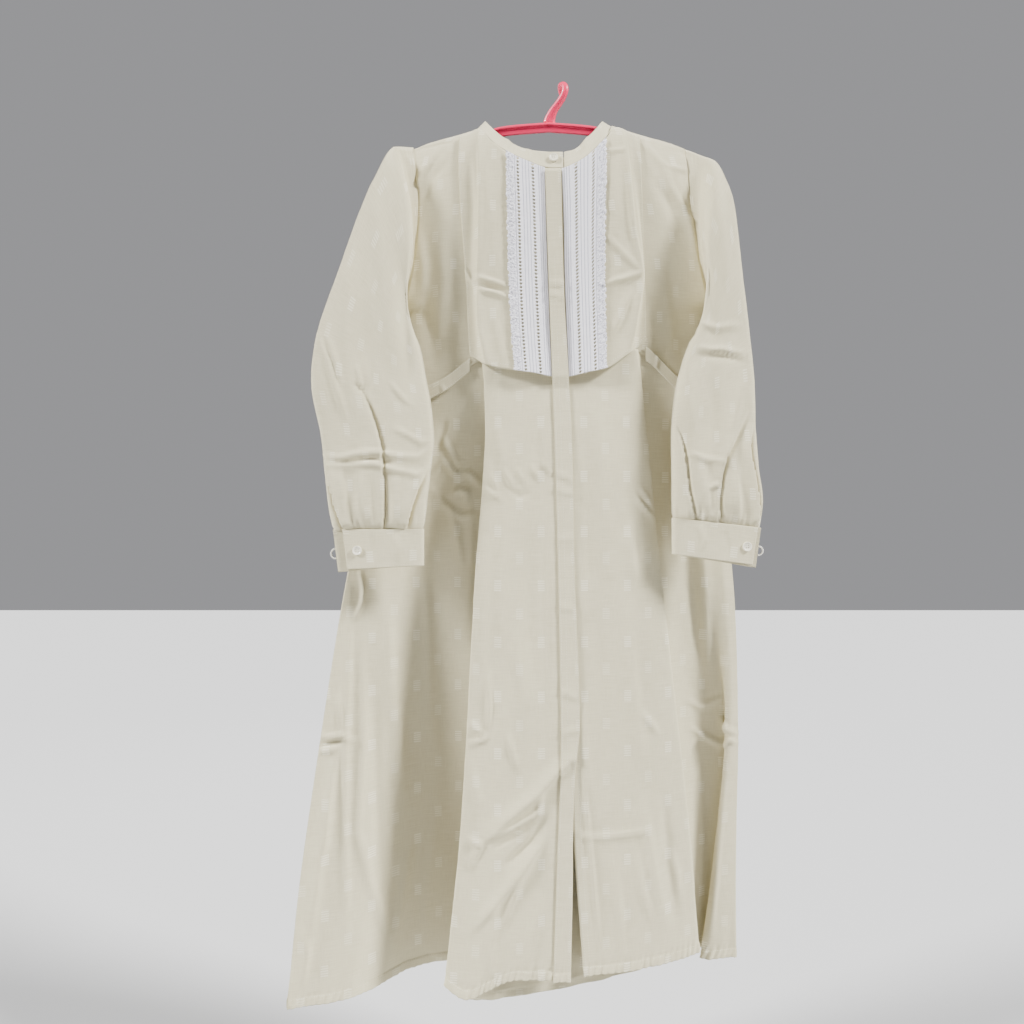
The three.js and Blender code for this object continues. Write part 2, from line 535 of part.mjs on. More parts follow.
// The neck and shoulder edge of a body panel, from its middle to the armhole.
function topEdge(side, neckGuides, facing) {
  const a = ARMHOLE[side];
  const neck = outsideCollar(new THREE.CatmullRomCurve3(neckGuides).getSpacedPoints(NECK_STEPS));
  const start = neck[NECK_STEPS];
  for (let k = 1; k <= SHOULDER_STEPS; k += 1) {
    const x = lerp(start.x, a.topX, k / SHOULDER_STEPS);
    neck.push(new THREE.Vector3(x, facing * FOLD_HALF, shoulderZ(x)));
  }
  return neck;
}

function frontPanel(side) {
  const sign = side === "l" ? -1 : 1;
  const middle = new THREE.Vector3(NECK_MIDDLE.x + sign * SEAM_GAP, 0, NECK_MIDDLE.z);
  const neck = side === "l" ? collarSeam.slice(1, NECK.l + 1) : collarSeam.slice(NECK.r).reverse();
  const top = topEdge(side, [middle, ...neck], -1);
  const seam = SIDE_SEAM[side][2];
  const innerEnd = (side === "l" ? SKIRT_L : SKIRT_R)[0].edgeX;
  const columns = top.length - 1;
  const bottom = top.map((_, j) => {
    const x = lerp(innerEnd, seam.x - sign * SEAM_GAP, j / columns);
    return new THREE.Vector3(x, 0, seamZ(x, side) + SEAM_GAP);
  });
  const inner = BODICE_V.map((v) => new THREE.Vector3(
    lerp(top[0].x, bottom[0].x, v), 0, lerp(top[0].z, bottom[0].z, v)));
  const outer = BODICE_V.map((v) => {
    const z = lerp(top[columns].z, bottom[columns].z, v);
    return new THREE.Vector3(edgeAt(side, z, -1).x - sign * SEAM_GAP * 2, 0, z);
  });
  const grid = patch(BODICE_V, top, bottom, inner, outer);
  grid.forEach((row) => row.forEach((p) => {
    p.y = bodiceY(p.x, p.z, -1);
  }));
  grid[0].slice(NECK_STEPS).forEach((p) => { p.y = -FOLD_HALF; });
  return facingOut(grid, -1);
}

// Columns in the order that makes the grid's normals face the given way along Y at its middle.
function facingOut(grid, facing) {
  const normals = normalsOf(grid);
  const middle = normals[Math.floor(grid.length / 2)][Math.floor(grid[0].length / 2)];
  return Math.sign(middle.y) === facing ? grid : grid.map((row) => row.slice().reverse());
}

// ---------------------------------------------------------------- skirt fronts
function guidesL(r) {
  const inset = Math.min(FOLD_INSET.most, FOLD_INSET.share * (r.innerX - r.foldX));
  const belly = PANEL_BELLY.l * Math.min(1, r.t / PANEL_BELLY.full);
  return [
    [r.edgeX, r.edgeY],
    [(r.edgeX + r.foldX) / 2, (r.edgeY + r.panelY) / 2 - belly],
    [r.foldX + inset, r.panelY],
    [r.foldX, (r.panelY + r.underY) / 2],
    [r.foldX + inset, r.underY],
    [(r.foldX + r.innerX) / 2, (r.underY + r.deepY) / 2],
    [r.innerX - inset, r.deepY],
    [r.innerX, (r.deepY + r.returnY) / 2],
    [r.innerX - inset, r.returnY],
    [r.recessX, r.recessY],
    [r.wingX, r.wingY],
    [r.seamX + SEAM_HALF, r.seamY - PLY / 2],
  ];
}

function guidesR(r) {
  const [lead, inner, middle, outer] = FLAP_BLENDS.map((share) => lerp(r.recessY, r.flapY, share));
  const belly = PANEL_BELLY.r * Math.min(1, r.t / PANEL_BELLY.full);
  return [
    [r.edgeX, r.edgeY],
    [(r.edgeX + r.foldX) / 2, (r.edgeY + r.foldY) / 2 - belly],
    [r.foldX - r.undercut, r.foldY - 1],
    [r.foldX, (r.foldY + r.backY) / 2],
    [r.foldX - r.undercut, r.backY],
    [r.recessX, r.recessY],
    [r.innerX - FLAP_LEAD, lead],
    [r.innerX, inner],
    [(r.innerX + r.flapX) / 2, middle],
    [r.flapX, outer],
    [r.flapX + FLAP_LEAD, r.flapY],
    [r.seamX - SEAM_HALF, r.seamY - PLY / 2],
  ];
}

function skirtFront(side) {
  const [rows, guides, hem, steps] = side === "l"
    ? [SKIRT_L, guidesL, HEM_L, STEPS_L] : [SKIRT_R, guidesR, HEM_R, STEPS_R];
  const sectionAt = (t) => through(
    guides(rowAt(rows, t)).map(([x, y], i) => new THREE.Vector3(x, y, hem[i])), steps);
  const starts = sectionAt(0).map((p) => seamZ(p.x, side) - WAIST_GAP);
  return SKIRT_T.map((t) => sectionAt(t).map(
    (p, j) => new THREE.Vector3(p.x, p.y, lerp(starts[j], p.z, t))));
}

// ---------------------------------------------------------------- back
function backPanel() {
  const neck = collarSeam.slice(NECK.l, NECK.r + 1);
  const half = NECK_STEPS * 2;
  const middle = outsideCollar(new THREE.CatmullRomCurve3(neck).getSpacedPoints(half));
  const arm = (side, k) => {
    const x = lerp(middle[side === "l" ? 0 : half].x, ARMHOLE[side].topX, k / SHOULDER_STEPS);
    return new THREE.Vector3(x, FOLD_HALF, shoulderZ(x));
  };
  const steps = Array.from({ length: SHOULDER_STEPS }, (_, k) => k + 1);
  const top = [...steps.map((k) => arm("l", k)).reverse(), ...middle, ...steps.map((k) => arm("r", k))];
  const columns = top.length - 1;
  const waist = top.map((_, j) => {
    const x = lerp(SIDE_SEAM.l[2].x + SEAM_GAP, SIDE_SEAM.r[2].x - SEAM_GAP, j / columns);
    return new THREE.Vector3(x, 0, lerp(SIDE_SEAM.l[2].z, SIDE_SEAM.r[2].z, j / columns));
  });
  const edges = ["l", "r"].map((side) => BODICE_V.map((v) => {
    const end = side === "l" ? 0 : columns;
    const z = lerp(top[end].z, waist[end].z, v);
    const sign = side === "l" ? 1 : -1;
    return new THREE.Vector3(edgeAt(side, z, 1).x + sign * SEAM_GAP * 2, 0, z);
  }));
  const grid = patch(BODICE_V, top, waist, edges[0], edges[1]);
  grid.forEach((row, i) => row.forEach((p) => {
    if (i > 0) p.y = bodiceY(p.x, p.z, 1);
  }));
  grid[0].forEach((p, j) => {
    p.y = j > SHOULDER_STEPS && j < columns - SHOULDER_STEPS ? bodiceY(p.x, p.z, 1) : FOLD_HALF;
  });
  const hemCurve = new THREE.CatmullRomCurve3(BACK_HEM.map((z, i) => new THREE.Vector3(i, 0, z)));
  for (const t of SKIRT_T.slice(1)) {
    const left = rowAt(SKIRT_L, t);
    const right = rowAt(SKIRT_R, t);
    const form = rowAt(BACK, t);
    grid.push(waist.map((start, j) => {
      const u = j / columns;
      const x = lerp(left.seamX + SEAM_HALF, right.seamX - SEAM_HALF, u);
      const out = Math.abs(2 * u - 1);
      const turn = (u < 0.5 ? left.seamY - form.middleY : right.seamY - form.middleY)
        * out ** (u < 0.5 ? form.turnL : form.turnR);
      const flute = BACK_FLUTES.depth * t * (1 - out ** 2) * Math.cos(2 * Math.PI * BACK_FLUTES.count * u);
      const edgeGap = (PLY / 2) * (u === 0 || u === 1);
      return new THREE.Vector3(x, form.middleY + turn + flute + edgeGap,
        lerp(start.z, hemCurve.getPoint(u).z, t));
    }));
  }
  return facingOut(grid, 1);
}

// ---------------------------------------------------------------- bib, lace, placket and bands
function bibGrid(side) {
  const table = side === "l" ? BIB_L : BIB_R;
  const seam = new THREE.CatmullRomCurve3(
    collarSeam.filter((_, i) => (side === "l" ? i <= NECK.l : i >= NECK.r))).getSpacedPoints(60);
  const linesAt = (z) => {
    const row = rowAt(table, z);
    row.sideX = (row.laceOutX + row.foldX) / 2;
    row.stripX = (row.foldX + row.outerX) / 2;
    return row;
  };
  const top = linesAt(table[0].z);
  const starts = BIB_LINES.map(({ name }) => {
    const x = top[name];
    const beyond = side === "l" ? x < collarSeam[NECK.l].x : x > collarSeam[NECK.r].x;
    const near = seam.reduce((best, p) => (Math.abs(p.x - x) < Math.abs(best.x - x) ? p : best));
    return beyond ? shoulderZ(x) - BIB_BELOW_SHOULDER : near.z - BIB_BELOW_COLLAR;
  });
  return facingOut(BIB_V.map((v) => BIB_LINES.map((line, j) => {
    const z = lerp(starts[j], BIB_END[side][j], v);
    const x = linesAt(Math.min(z, table[0].z))[line.name];
    return new THREE.Vector3(x, bodiceY(x, z, -1) - lerp(line.top, line.end, v ** LIFT_GROWTH), z);
  })), -1);
}

// The lace lies on the bib's own points between its two edge lines.
function laceGrid(bib, side) {
  const start = side === "l" ? 1 : BIB_LINES.length - 1 - LACE_COLUMNS;
  return moved(bib, LACE_PLY).map((row) => row.slice(start, start + LACE_COLUMNS));
}

// The strip lies over the bib's inner edges, and below them on the left front's own facets.
function placketGrid(skirt) {
  const across = [0, 0.5, 1];
  const over = [];
  for (let k = 0; k <= PLACKET_ROWS; k += 1) {
    const r = rowAt(PLACKET, lerp(PLACKET[0].z, PLACKET_BIB_END, k / PLACKET_ROWS));
    const y = lerp(PLACKET_Y.collar, PLACKET_Y.bibEnd, (k / PLACKET_ROWS) ** 2);
    over.push(across.map((u) => new THREE.Vector3(lerp(r.leftX, r.rightX, u), y, r.z)));
  }
  const below = skirt.slice(PLACKET_FIRST_SKIRT_ROW).map((row) => {
    const edge = row[0];
    const r = rowAt(PLACKET, edge.z);
    return across.map((u) => {
      const x = lerp(r.leftX, r.rightX, u);
      const j = Math.max(1, row.findIndex((p) => p.x < x));
      const s = (x - row[j - 1].x) / (row[j].x - row[j - 1].x);
      return new THREE.Vector3(x, lerp(row[j - 1].y, row[j].y, Math.max(0, s)) - PLY - SEAM_GAP, edge.z);
    });
  });
  return [...over, ...below];
}

const BAND_HALF_WIDTH = 8.8;
const BAND_LIFT = { l: 2.1, r: 3.4 }; // clears the pleats that start under it
const BAND_STEPS = 8;
const BAND_START = { l: 103, r: 112 }; // from the bodice's middle line
const BAND_END = 6; // short of the side seam
function bandGrid(side) {
  const sign = side === "l" ? -1 : 1;
  const edge = SIDE_SEAM[side][2];
  const start = CENTRE_X + sign * BAND_START[side];
  return facingOut([1, 0, -1].map((h) => Array.from({ length: BAND_STEPS + 1 }, (_, k) => {
    const x = lerp(start, edge.x - sign * BAND_END, k / BAND_STEPS);
    const z = seamZ(x, side) + h * BAND_HALF_WIDTH;
    return new THREE.Vector3(x, bodiceY(x, seamZ(x, side), -1) - BAND_LIFT[side], z);
  })), -1);
}

// ---------------------------------------------------------------- collar
function collarGrid() {
  const steps = COLLAR.slice(1).map(() => COLLAR_STEPS);
  const seam = through(collarSeam, steps);
  const top = through(collarTop, steps);
  return [0, 0.33, 0.67, 1].map((v) => top.map((p, j) => {
    const q = p.clone().lerp(seam[j], v);
    q.z += v * SEAM_GAP;
    return q;
  }));
}

// ---------------------------------------------------------------- sleeves and cuffs
// A point of a flattened ring: turn 0 is the underarm, 0.5 the outer side, 1 the underarm again.
function ringPoint(r, turn, out = 0) {
  const angle = turn * 2 * Math.PI;
  const sin = Math.sin(angle);
  const along = (1 - Math.cos(angle)) / 2;
  const depth = sin > 0 ? -r.front : r.back;
  return new THREE.Vector3(
    lerp(r.inX, r.outX, along) + (sin > 0 ? r.bow : r.backBow) * sin * sin,
    lerp(r.y, r.outY ?? r.y, along) + depth * Math.abs(sin) ** FULLNESS - out,
    lerp(r.inZ, r.outZ, along),
  );
}

// Places round a ring, more closely spaced over the front, with the underarm seam left open.
function ringTurns(frontColumns, backColumns, slit) {
  const even = (n) => Array.from({ length: n }, (_, k) => k / n);
  const front = even(frontColumns).map((k) => Math.acos(1 - 2 * k) / (2 * Math.PI));
  const back = even(backColumns).map((k) => 0.5 + Math.acos(1 - 2 * k) / (2 * Math.PI));
  const turns = [...front, ...back, 1];
  turns[0] = slit;
  turns[turns.length - 1] = 1 - slit;
  return turns;
}

function sleeveGrid(side) {
  const a = ARMHOLE[side];
  const sign = side === "l" ? -1 : 1;
  const turns = ringTurns(SLEEVE_FRONT_COLUMNS, SLEEVE_BACK_COLUMNS, SLEEVE_SLIT);
  const head = {
    inX: a.pitX + sign * HEAD_GAP.out,
    inZ: a.pitZ - HEAD_GAP.down,
    outX: a.topX + sign * HEAD_GAP.out,
    outZ: a.topZ + HEAD_GAP.up,
    y: a.pitY,
    outY: 0,
    front: a.depth,
    back: a.depth,
    bow: a.bow,
    backBow: a.bow,
  };
  const rows = [head, ...(side === "l" ? SLEEVE_L : SLEEVE_R)];
  return rows.map((r, i) => turns.map((turn) => {
    const rise = clamp((i - (rows.length - 1 - PLEAT_ROWS)) / PLEAT_ROWS, 0, 1);
    const along = (1 - Math.cos(turn * 2 * Math.PI)) / 2;
    const out = turn > 0.5 ? 0 : PLEATS[side].reduce(
      (sum, p) => sum + p.depth * rise * Math.exp(-(((along - p.at) / PLEAT_WIDTH) ** 2)), 0);
    return ringPoint(r, turn, out);
  }));
}

function cuffGrid(side) {
  const c = CUFF[side];
  const lap = (c.lapX - c.inX) / (c.outX - c.inX);
  const start = Math.acos(1 - 2 * lap) / (2 * Math.PI);
  const shares = Array.from({ length: CUFF_COLUMNS + 1 }, (_, k) => k / CUFF_COLUMNS);
  const front = shares.map((s) => lerp(start, CUFF_TURNS.underarm, s));
  const back = shares.slice(1).map((s) => lerp(1 - CUFF_TURNS.underarm, CUFF_TURNS.backEnd, s));
  const turns = [...front, ...back];
  return [0, 0.5, 1].map((v) => turns.map((turn) => ringPoint({
    inX: c.inX,
    outX: c.outX + c.taper * v,
    inZ: c.inZ - SEAM_GAP - c.height * v,
    outZ: c.outZ - SEAM_GAP - c.heightOut * v,
    y: CUFF_DEPTH.y,
    front: CUFF_DEPTH.front,
    back: CUFF_DEPTH.back,
    bow: 0,
    backBow: 0,
  }, turn)));
}

// ---------------------------------------------------------------- buttons, loops and hanger
function buttonGeometry() {
  const r = BUTTON_RADIUS;
  const h = BUTTON_HEIGHT;
  const profile = [
    [0, 0], [r * 0.8, 0], [r, h * 0.35], [r, h * 0.75], [r * 0.82, h], [r * 0.66, h * 0.75], [0, h * 0.75],
  ];
  return new THREE.LatheGeometry(profile.map(([x, y]) => new THREE.Vector2(x, y)), 14).rotateX(Math.PI);
}

function loopGeometry(loop, y) {
  const turns = 10;
  const path = Array.from({ length: turns + 1 }, (_, k) => {
    const angle = Math.PI * (k / turns);
    const [x, z] = [loop.reach * Math.sin(angle), (loop.length / 2) * Math.cos(angle)];
    return new THREE.Vector3(loop.x + x, y, loop.z + z);
  });
  const rings = path.map((p, i) => {
    const angle = Math.PI * (i / turns);
    const outwards = new THREE.Vector3(Math.sign(loop.reach) * Math.sin(angle), 0, Math.cos(angle));
    return Array.from({ length: 8 }, (_, k) => {
      const around = (k / 8) * 2 * Math.PI;
      return p.clone().addScaledVector(outwards, LOOP_CORD_RADIUS * Math.cos(around))
        .add(new THREE.Vector3(0, LOOP_CORD_RADIUS * Math.sin(around), 0));
    });
  });
  return loft(rings);
}

function hangerGeometry() {
  const stations = 16;
  const arms = Array.from({ length: stations + 1 }, (_, k) => {
    const d = lerp(-ARM_HALF_LENGTH, ARM_HALF_LENGTH, k / stations);
    const z = rowAt(SHOULDER, Math.abs(d)).z - ARM_DROP;
    return ARM_SECTION.map(([y, h]) => new THREE.Vector3(HANGER_X + d, y, z + h));
  });
  const corners = 8;
  const hook = barRings(HOOK, (r) => Array.from({ length: corners }, (_, k) => {
    const angle = (k / corners) * 2 * Math.PI;
    return [r.wide * Math.cos(angle), r.thick * Math.sin(angle)];
  }));
  return joined(outward(loft(arms)), outward(loft(hook)));
}

// The same body with its faces turned out where they were wound the other way.
function outward(geometry) {
  const p = geometry.attributes.position;
  const [a, b, c] = [new THREE.Vector3(), new THREE.Vector3(), new THREE.Vector3()];
  const index = Array.from(geometry.index.array);
  let volume = 0;
  for (let i = 0; i < index.length; i += 3) {
    a.fromBufferAttribute(p, index[i]);
    b.fromBufferAttribute(p, index[i + 1]);
    c.fromBufferAttribute(p, index[i + 2]);
    volume += a.dot(b.cross(c));
  }
  if (volume < 0) {
    for (let i = 0; i < index.length; i += 3) [index[i + 1], index[i + 2]] = [index[i + 2], index[i + 1]];
    geometry.setIndex(index);
  }
  return geometry;
}

// ---------------------------------------------------------------- the object
const tunic = new THREE.Group();

function add(name, geometry, finish, position) {
  const mesh = new THREE.Mesh(outward(geometry), new THREE.MeshStandardMaterial(FINISH[finish]));
  mesh.name = name;
  if (position) mesh.position.set(...position);
  tunic.add(mesh);
}

add("hanger", hangerGeometry(), "plastic");
add("collar", wall(collarGrid()), "cloth");
add("back", wall(backPanel()), "cloth");
for (const side of ["l", "r"]) {
  const bib = bibGrid(side);
  add(`bodice_front_${side}`, wall(frontPanel(side)), "cloth");
  const skirt = skirtFront(side);
  add(`skirt_front_${side}`, wall(skirt), "cloth");
  if (side === "l") add("placket", wall(placketGrid(skirt)), "cloth");
  add(`bib_${side}`, wall(bib), "cloth");
  add(`lace_${side}`, wall(laceGrid(bib, side), LACE_WALL), "lace");
  add(`band_${side}`, wall(bandGrid(side)), "cloth");
  add(`sleeve_${side}`, wall(sleeveGrid(side)), "cloth");
  add(`cuff_${side}`, wall(cuffGrid(side)), "cloth");
}

for (const [name, b] of Object.entries(BUTTONS)) {
  const c = CUFF[b.side];
  const along = (b.x - c.inX) / (c.outX + c.taper / 2 - c.inX);
  const depth = CUFF_DEPTH.front * (2 * Math.sqrt(along * (1 - along))) ** FULLNESS;
  add(name, buttonGeometry(), "button", [b.x, CUFF_DEPTH.y - depth - WALL / 2 - 2 * SEAM_GAP, b.z]);
}
add("collar_button", buttonGeometry().rotateX(COLLAR_BUTTON.lean), "button",
  [COLLAR_BUTTON.x, COLLAR_BUTTON.y, COLLAR_BUTTON.z]);
for (const [name, loop] of Object.entries(LOOPS)) {
  add(name, loopGeometry(loop, CUFF_DEPTH.y + 2), "cord");
}

export default tunic;
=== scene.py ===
"""Dresses a long-sleeved A-line tunic and the plastic hanger that carries it.

Sizes are millimetres in the tables and metres in the meshes. X runs to the right of someone who looks
at the front, the front faces -Y and Z points up. The origin is inside the hanger's hook.
"""
import logging
import math
from dataclasses import dataclass
from enum import Enum
from typing import Sequence

import bmesh
import bpy
import numpy as np
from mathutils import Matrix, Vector

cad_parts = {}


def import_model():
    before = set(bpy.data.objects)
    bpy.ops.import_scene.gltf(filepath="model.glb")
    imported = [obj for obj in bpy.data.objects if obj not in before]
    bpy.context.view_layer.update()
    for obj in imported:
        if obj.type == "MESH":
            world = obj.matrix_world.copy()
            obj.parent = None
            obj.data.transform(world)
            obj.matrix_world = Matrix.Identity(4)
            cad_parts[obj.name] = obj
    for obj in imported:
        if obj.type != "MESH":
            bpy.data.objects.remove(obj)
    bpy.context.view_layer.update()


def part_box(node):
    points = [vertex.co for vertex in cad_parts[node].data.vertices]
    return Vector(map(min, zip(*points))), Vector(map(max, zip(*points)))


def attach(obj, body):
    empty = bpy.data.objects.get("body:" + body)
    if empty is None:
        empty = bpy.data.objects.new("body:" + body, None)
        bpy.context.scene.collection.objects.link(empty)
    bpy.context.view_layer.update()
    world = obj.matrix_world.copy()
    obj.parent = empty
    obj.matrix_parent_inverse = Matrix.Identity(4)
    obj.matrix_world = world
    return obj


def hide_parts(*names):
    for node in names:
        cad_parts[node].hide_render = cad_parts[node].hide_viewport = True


LOG = logging.getLogger("tunic")
MM = 0.001
Array = np.ndarray

CENTRE_X = -9.0  # the bodice's middle line
HANGER_X = -14.0  # the hanger's middle line
EYE = np.array([-61.0, -1000.0, -538.0])  # where the front is looked at from
SEAM_GAP = 0.3
SEAM_LAP = 1.4  # how far one panel's edge runs under the next one's
FOLD_HALF = 0.5  # half depth between front and back along the shoulder fold
CLOTH = 0.7  # thickness of a cloth wall
PLY = 1.5  # from one layer's middle to the next one's
STITCH_PITCH, STITCH_LENGTH, STITCH_RADIUS = 3.1, 2.3, 0.28


class Side(Enum):
    """The viewer's left or right half, with the sign of its X."""

    LEFT = -1
    RIGHT = 1

    @property
    def key(self) -> str:
        """The letter that ends this side's node names."""
        return "l" if self is Side.LEFT else "r"


class Facing(Enum):
    """The front or back sheet of the body, with the sign of its outward Y."""

    FRONT = -1
    BACK = 1


# ------------------------------------------------------------------------------------ curves
class Table:
    """Named columns over the values of the first one, joined by a smooth curve."""

    def __init__(self, names: str, rows: Sequence[Sequence[float]]) -> None:
        """Stores the rows in rising order of their first column.

        Args:
            names: the columns' names, with spaces between them.
            rows: one row of numbers for each place.
        """
        data = np.array(rows, dtype=float)
        self.names = names.split()
        self.data = data if data[-1, 0] > data[0, 0] else data[::-1]

    def at(self, value: float | Array) -> dict[str, Array]:
        """Every column at one or more values of the first.

        Args:
            value: places along the first column.

        Returns:
            An array for each column, shaped as the places.
        """
        rows = self.data
        key = rows[:, 0]
        last = len(key) - 1
        place = np.asarray(value, dtype=float)
        i = np.clip(np.searchsorted(key, place, side="left") - 1, 0, last - 1)
        a, b = rows[i], rows[i + 1]
        before, after = rows[np.maximum(i - 1, 0)], rows[np.minimum(i + 2, last)]
        span = (b[..., :1] - a[..., :1])
        s = np.clip((place[..., None] - a[..., :1]) / span, 0, 1)
        straight = (b - a) / span
        with np.errstate(divide="ignore", invalid="ignore"):
            start = np.where((i == 0)[..., None], straight, (b - before) / (b[..., :1] - before[..., :1]))
            end = np.where((i == last - 1)[..., None], straight, (after - a) / (after[..., :1] - a[..., :1]))
        found = ((2 * s**3 - 3 * s**2 + 1) * a + (s**3 - 2 * s**2 + s) * span * start
                 + (3 * s**2 - 2 * s**3) * b + (s**3 - s**2) * span * end)
        return {name: found[..., k] for k, name in enumerate(self.names)}


def lerp(a: Array, b: Array, t: Array) -> Array:
    """The value at share t of the way from a to b."""
    return a + (b - a) * t


def through(guides: Array, steps: Sequence[int]) -> Array:
    """Points on a smooth curve through guide points.

    Args:
        guides: the points, one in a row.
        steps: the number of steps between each pair of them.

    Returns:
        The curve's points, one in a row.
    """
    points = []
    last = len(guides) - 1
    for i, count in enumerate(steps):
        b, c = guides[i], guides[i + 1]
        a = guides[i - 1] if i else 2 * b - c
        d = guides[i + 2] if i + 2 <= last else 2 * c - b
        middle = max(np.linalg.norm(c - b) ** 0.5, 1e-2)
        first = max(np.linalg.norm(b - a) ** 0.5, 1e-2)
        final = max(np.linalg.norm(d - c) ** 0.5, 1e-2)
        leave = ((b - a) / first - (c - a) / (first + middle) + (c - b) / middle) * middle
        arrive = ((c - b) / middle - (d - b) / (middle + final) + (d - c) / final) * middle
        t = (np.arange(count) / count)[:, None]
        points.append(b + leave * t + (-3 * b + 3 * c - 2 * leave - arrive) * t**2
                      + (2 * b - 2 * c + leave + arrive) * t**3)
    points.append(guides[last][None])
    return np.vstack(points)


def spaced(points: Array, count: int) -> Array:
    """Points at equal distances along a polyline.

    Args:
        points: the polyline.
        count: the number of steps wanted.

    Returns:
        count + 1 points.
    """
    length = np.concatenate([[0], np.cumsum(np.linalg.norm(np.diff(points, axis=0), axis=1))])
    places = np.linspace(0, length[-1], count + 1)
    return np.stack([np.interp(places, length, points[:, k]) for k in range(3)], axis=1)


def patch(v: Array, top: Array, bottom: Array, inner: Array, outer: Array) -> Array:
    """A grid of points between four edges.

    Args:
        v: the rows' places from the top edge, 0, to the bottom edge, 1.
        top: the top edge's points.
        bottom: the bottom edge's points.
        inner: the points of the edge where the rows start.
        outer: the points of the edge where the rows end.

    Returns:
        The grid, indexed by row, column and coordinate.
    """
    v = v[:, None, None]
    u = np.linspace(0, 1, len(top))[None, :, None]
    corners = ((1 - v) * ((1 - u) * top[0] + u * top[-1]) + v * ((1 - u) * bottom[0] + u * bottom[-1]))
    return (1 - v) * top + v * bottom + (1 - u) * inner[:, None] + u * outer[:, None] - corners


def normals(grid: Array) -> Array:
    """The unit normals of a grid's points.

    Args:
        grid: rows and columns of points.

    Returns:
        One normal for each point.
    """
    across = np.gradient(grid, axis=1)
    down = np.gradient(grid, axis=0)
    n = np.cross(across, down)
    return n / np.maximum(np.linalg.norm(n, axis=2, keepdims=True), 1e-9)


def facing_out(grid: Array, sign: float) -> Array:
    """Turns a grid so that its middle's normal points to one side of Y.

    Args:
        grid: rows and columns of points.
        sign: -1 for the front and 1 for the back.

    Returns:
        The grid, with its columns the other way round where that was needed.
    """
    n = normals(grid)
    middle = n[len(grid) // 2, len(grid[0]) // 2, 1]
    return grid if np.sign(middle) == sign else grid[:, ::-1]


NOISE_CELLS = 64  # random values along each side of a field, which then repeats


def smooth_noise(x: Array, z: Array, size: float, seed: int) -> Array:
    """Smooth random heights between about -1 and 1.

    Args:
        x: places across.
        z: places down.
        size: the distance between the random values.
        seed: which field of random values to use.

    Returns:
        One height for each place.
    """
    values = np.random.default_rng(seed).uniform(-1, 1, (NOISE_CELLS, NOISE_CELLS))
    gx, gz = np.asarray(x) / size + 100, np.asarray(z) / size + 200
    ix, iz = np.floor(gx).astype(int), np.floor(gz).astype(int)
    fx, fz = gx - ix, gz - iz
    fx, fz = fx * fx * (3 - 2 * fx), fz * fz * (3 - 2 * fz)
    corners = [[values[(ix + dx) % NOISE_CELLS, (iz + dz) % NOISE_CELLS] for dx in (0, 1)] for dz in (0, 1)]
    return lerp(*(lerp(*pair, fx) for pair in corners), fz)


# ------------------------------------------------------------------------------------ the body's form
SHOULDER = Table("d z", [(0, -40), (60, -45.5), (90, -54.5), (120, -62.5), (150, -70), (171, -78),
                         (200, -84)])
BODICE = Table("z frontY backY", [(-40, -41, 30), (-119, -41, 30), (-250, -38, 31), (-350, -39, 33),
                                  (-430, -42, 36)])
UNDERBUST = {
    Side.LEFT: Table("d z", [(0, -338), (60, -344), (98, -354), (133, -379), (154, -390), (228, -430)]),
    Side.RIGHT: Table("d z", [(0, -338), (60, -337), (98, -339), (116, -345), (130, -357), (151, -377),
                              (212, -425)]),
}
SIDE_SEAM = {
    Side.LEFT: Table("z x y", [(-285, -198, -4), (-350, -214, -12), (-430, -236, -20)]),
    Side.RIGHT: Table("z x y", [(-285, 188, -4), (-350, 196, -9), (-425, 203, -12)]),
}
SEAM_END = {Side.LEFT: (-236.0, -430.0), Side.RIGHT: (203.0, -425.0)}


@dataclass(frozen=True)
class Armhole:
    """Where a sleeve is set in, and how far that seam bows towards the middle."""

    top_x: float
    top_z: float
    pit_x: float
    pit_z: float
    bow: float
    depth: float = 20.0
    pit_y: float = -4.0

    def seam(self, z: Array) -> tuple[Array, Array, Array]:
        """Measures the seam at some heights.

        Args:
            z: the heights.

        Returns:
            Its x, its middle depth and its half depth at each height.
        """
        cos = np.clip((z - (self.top_z + self.pit_z) / 2) / ((self.top_z - self.pit_z) / 2), -1, 1)
        sin = np.sqrt(1 - cos * cos)
        share = (cos + 1) / 2
        x = lerp(self.pit_x, self.top_x, share) + self.bow * sin * sin
        return x, lerp(self.pit_y, 0, share), self.depth * sin**FULLNESS


FULLNESS = 0.62  # flattens a ring: 1 is an ellipse
CALM_STEPS = np.linspace(-42, 42, 13)  # the edge's depth is evened out over this height inside the panel
CALM_TURN = 9  # how near the edge its own depth takes over
ARMHOLE = {
    Side.LEFT: Armhole(-187, -76, -198, -285, 14),
    Side.RIGHT: Armhole(157, -80.5, 188, -285, -8),
}


def shoulder_z(x: Array) -> Array:
    """Height of the shoulder fold at some places across."""
    return SHOULDER.at(np.abs(x - HANGER_X))["z"]


def underbust_z(x: Array, side: Side) -> Array:
    """Height of the seam under the bust at some places across."""
    return UNDERBUST[side].at(np.abs(x - CENTRE_X))["z"]


def edge_at(side: Side, z: Array, facing: Facing) -> tuple[Array, Array]:
    """The body's edge, on the armhole and below it on the side seam.

    Args:
        side: which half.
        z: heights.
        facing: front or back sheet.

    Returns:
        The edge's x and y.
    """
    hole = ARMHOLE[side]
    x, middle, depth = hole.seam(z)
    seam = SIDE_SEAM[side].at(z)
    on_hole = z > hole.pit_z
    y = middle + facing.value * np.maximum(depth, PLY / 2)
    return (np.where(on_hole, x, seam["x"]), np.where(on_hole, y, seam["y"] + facing.value * PLY / 2))


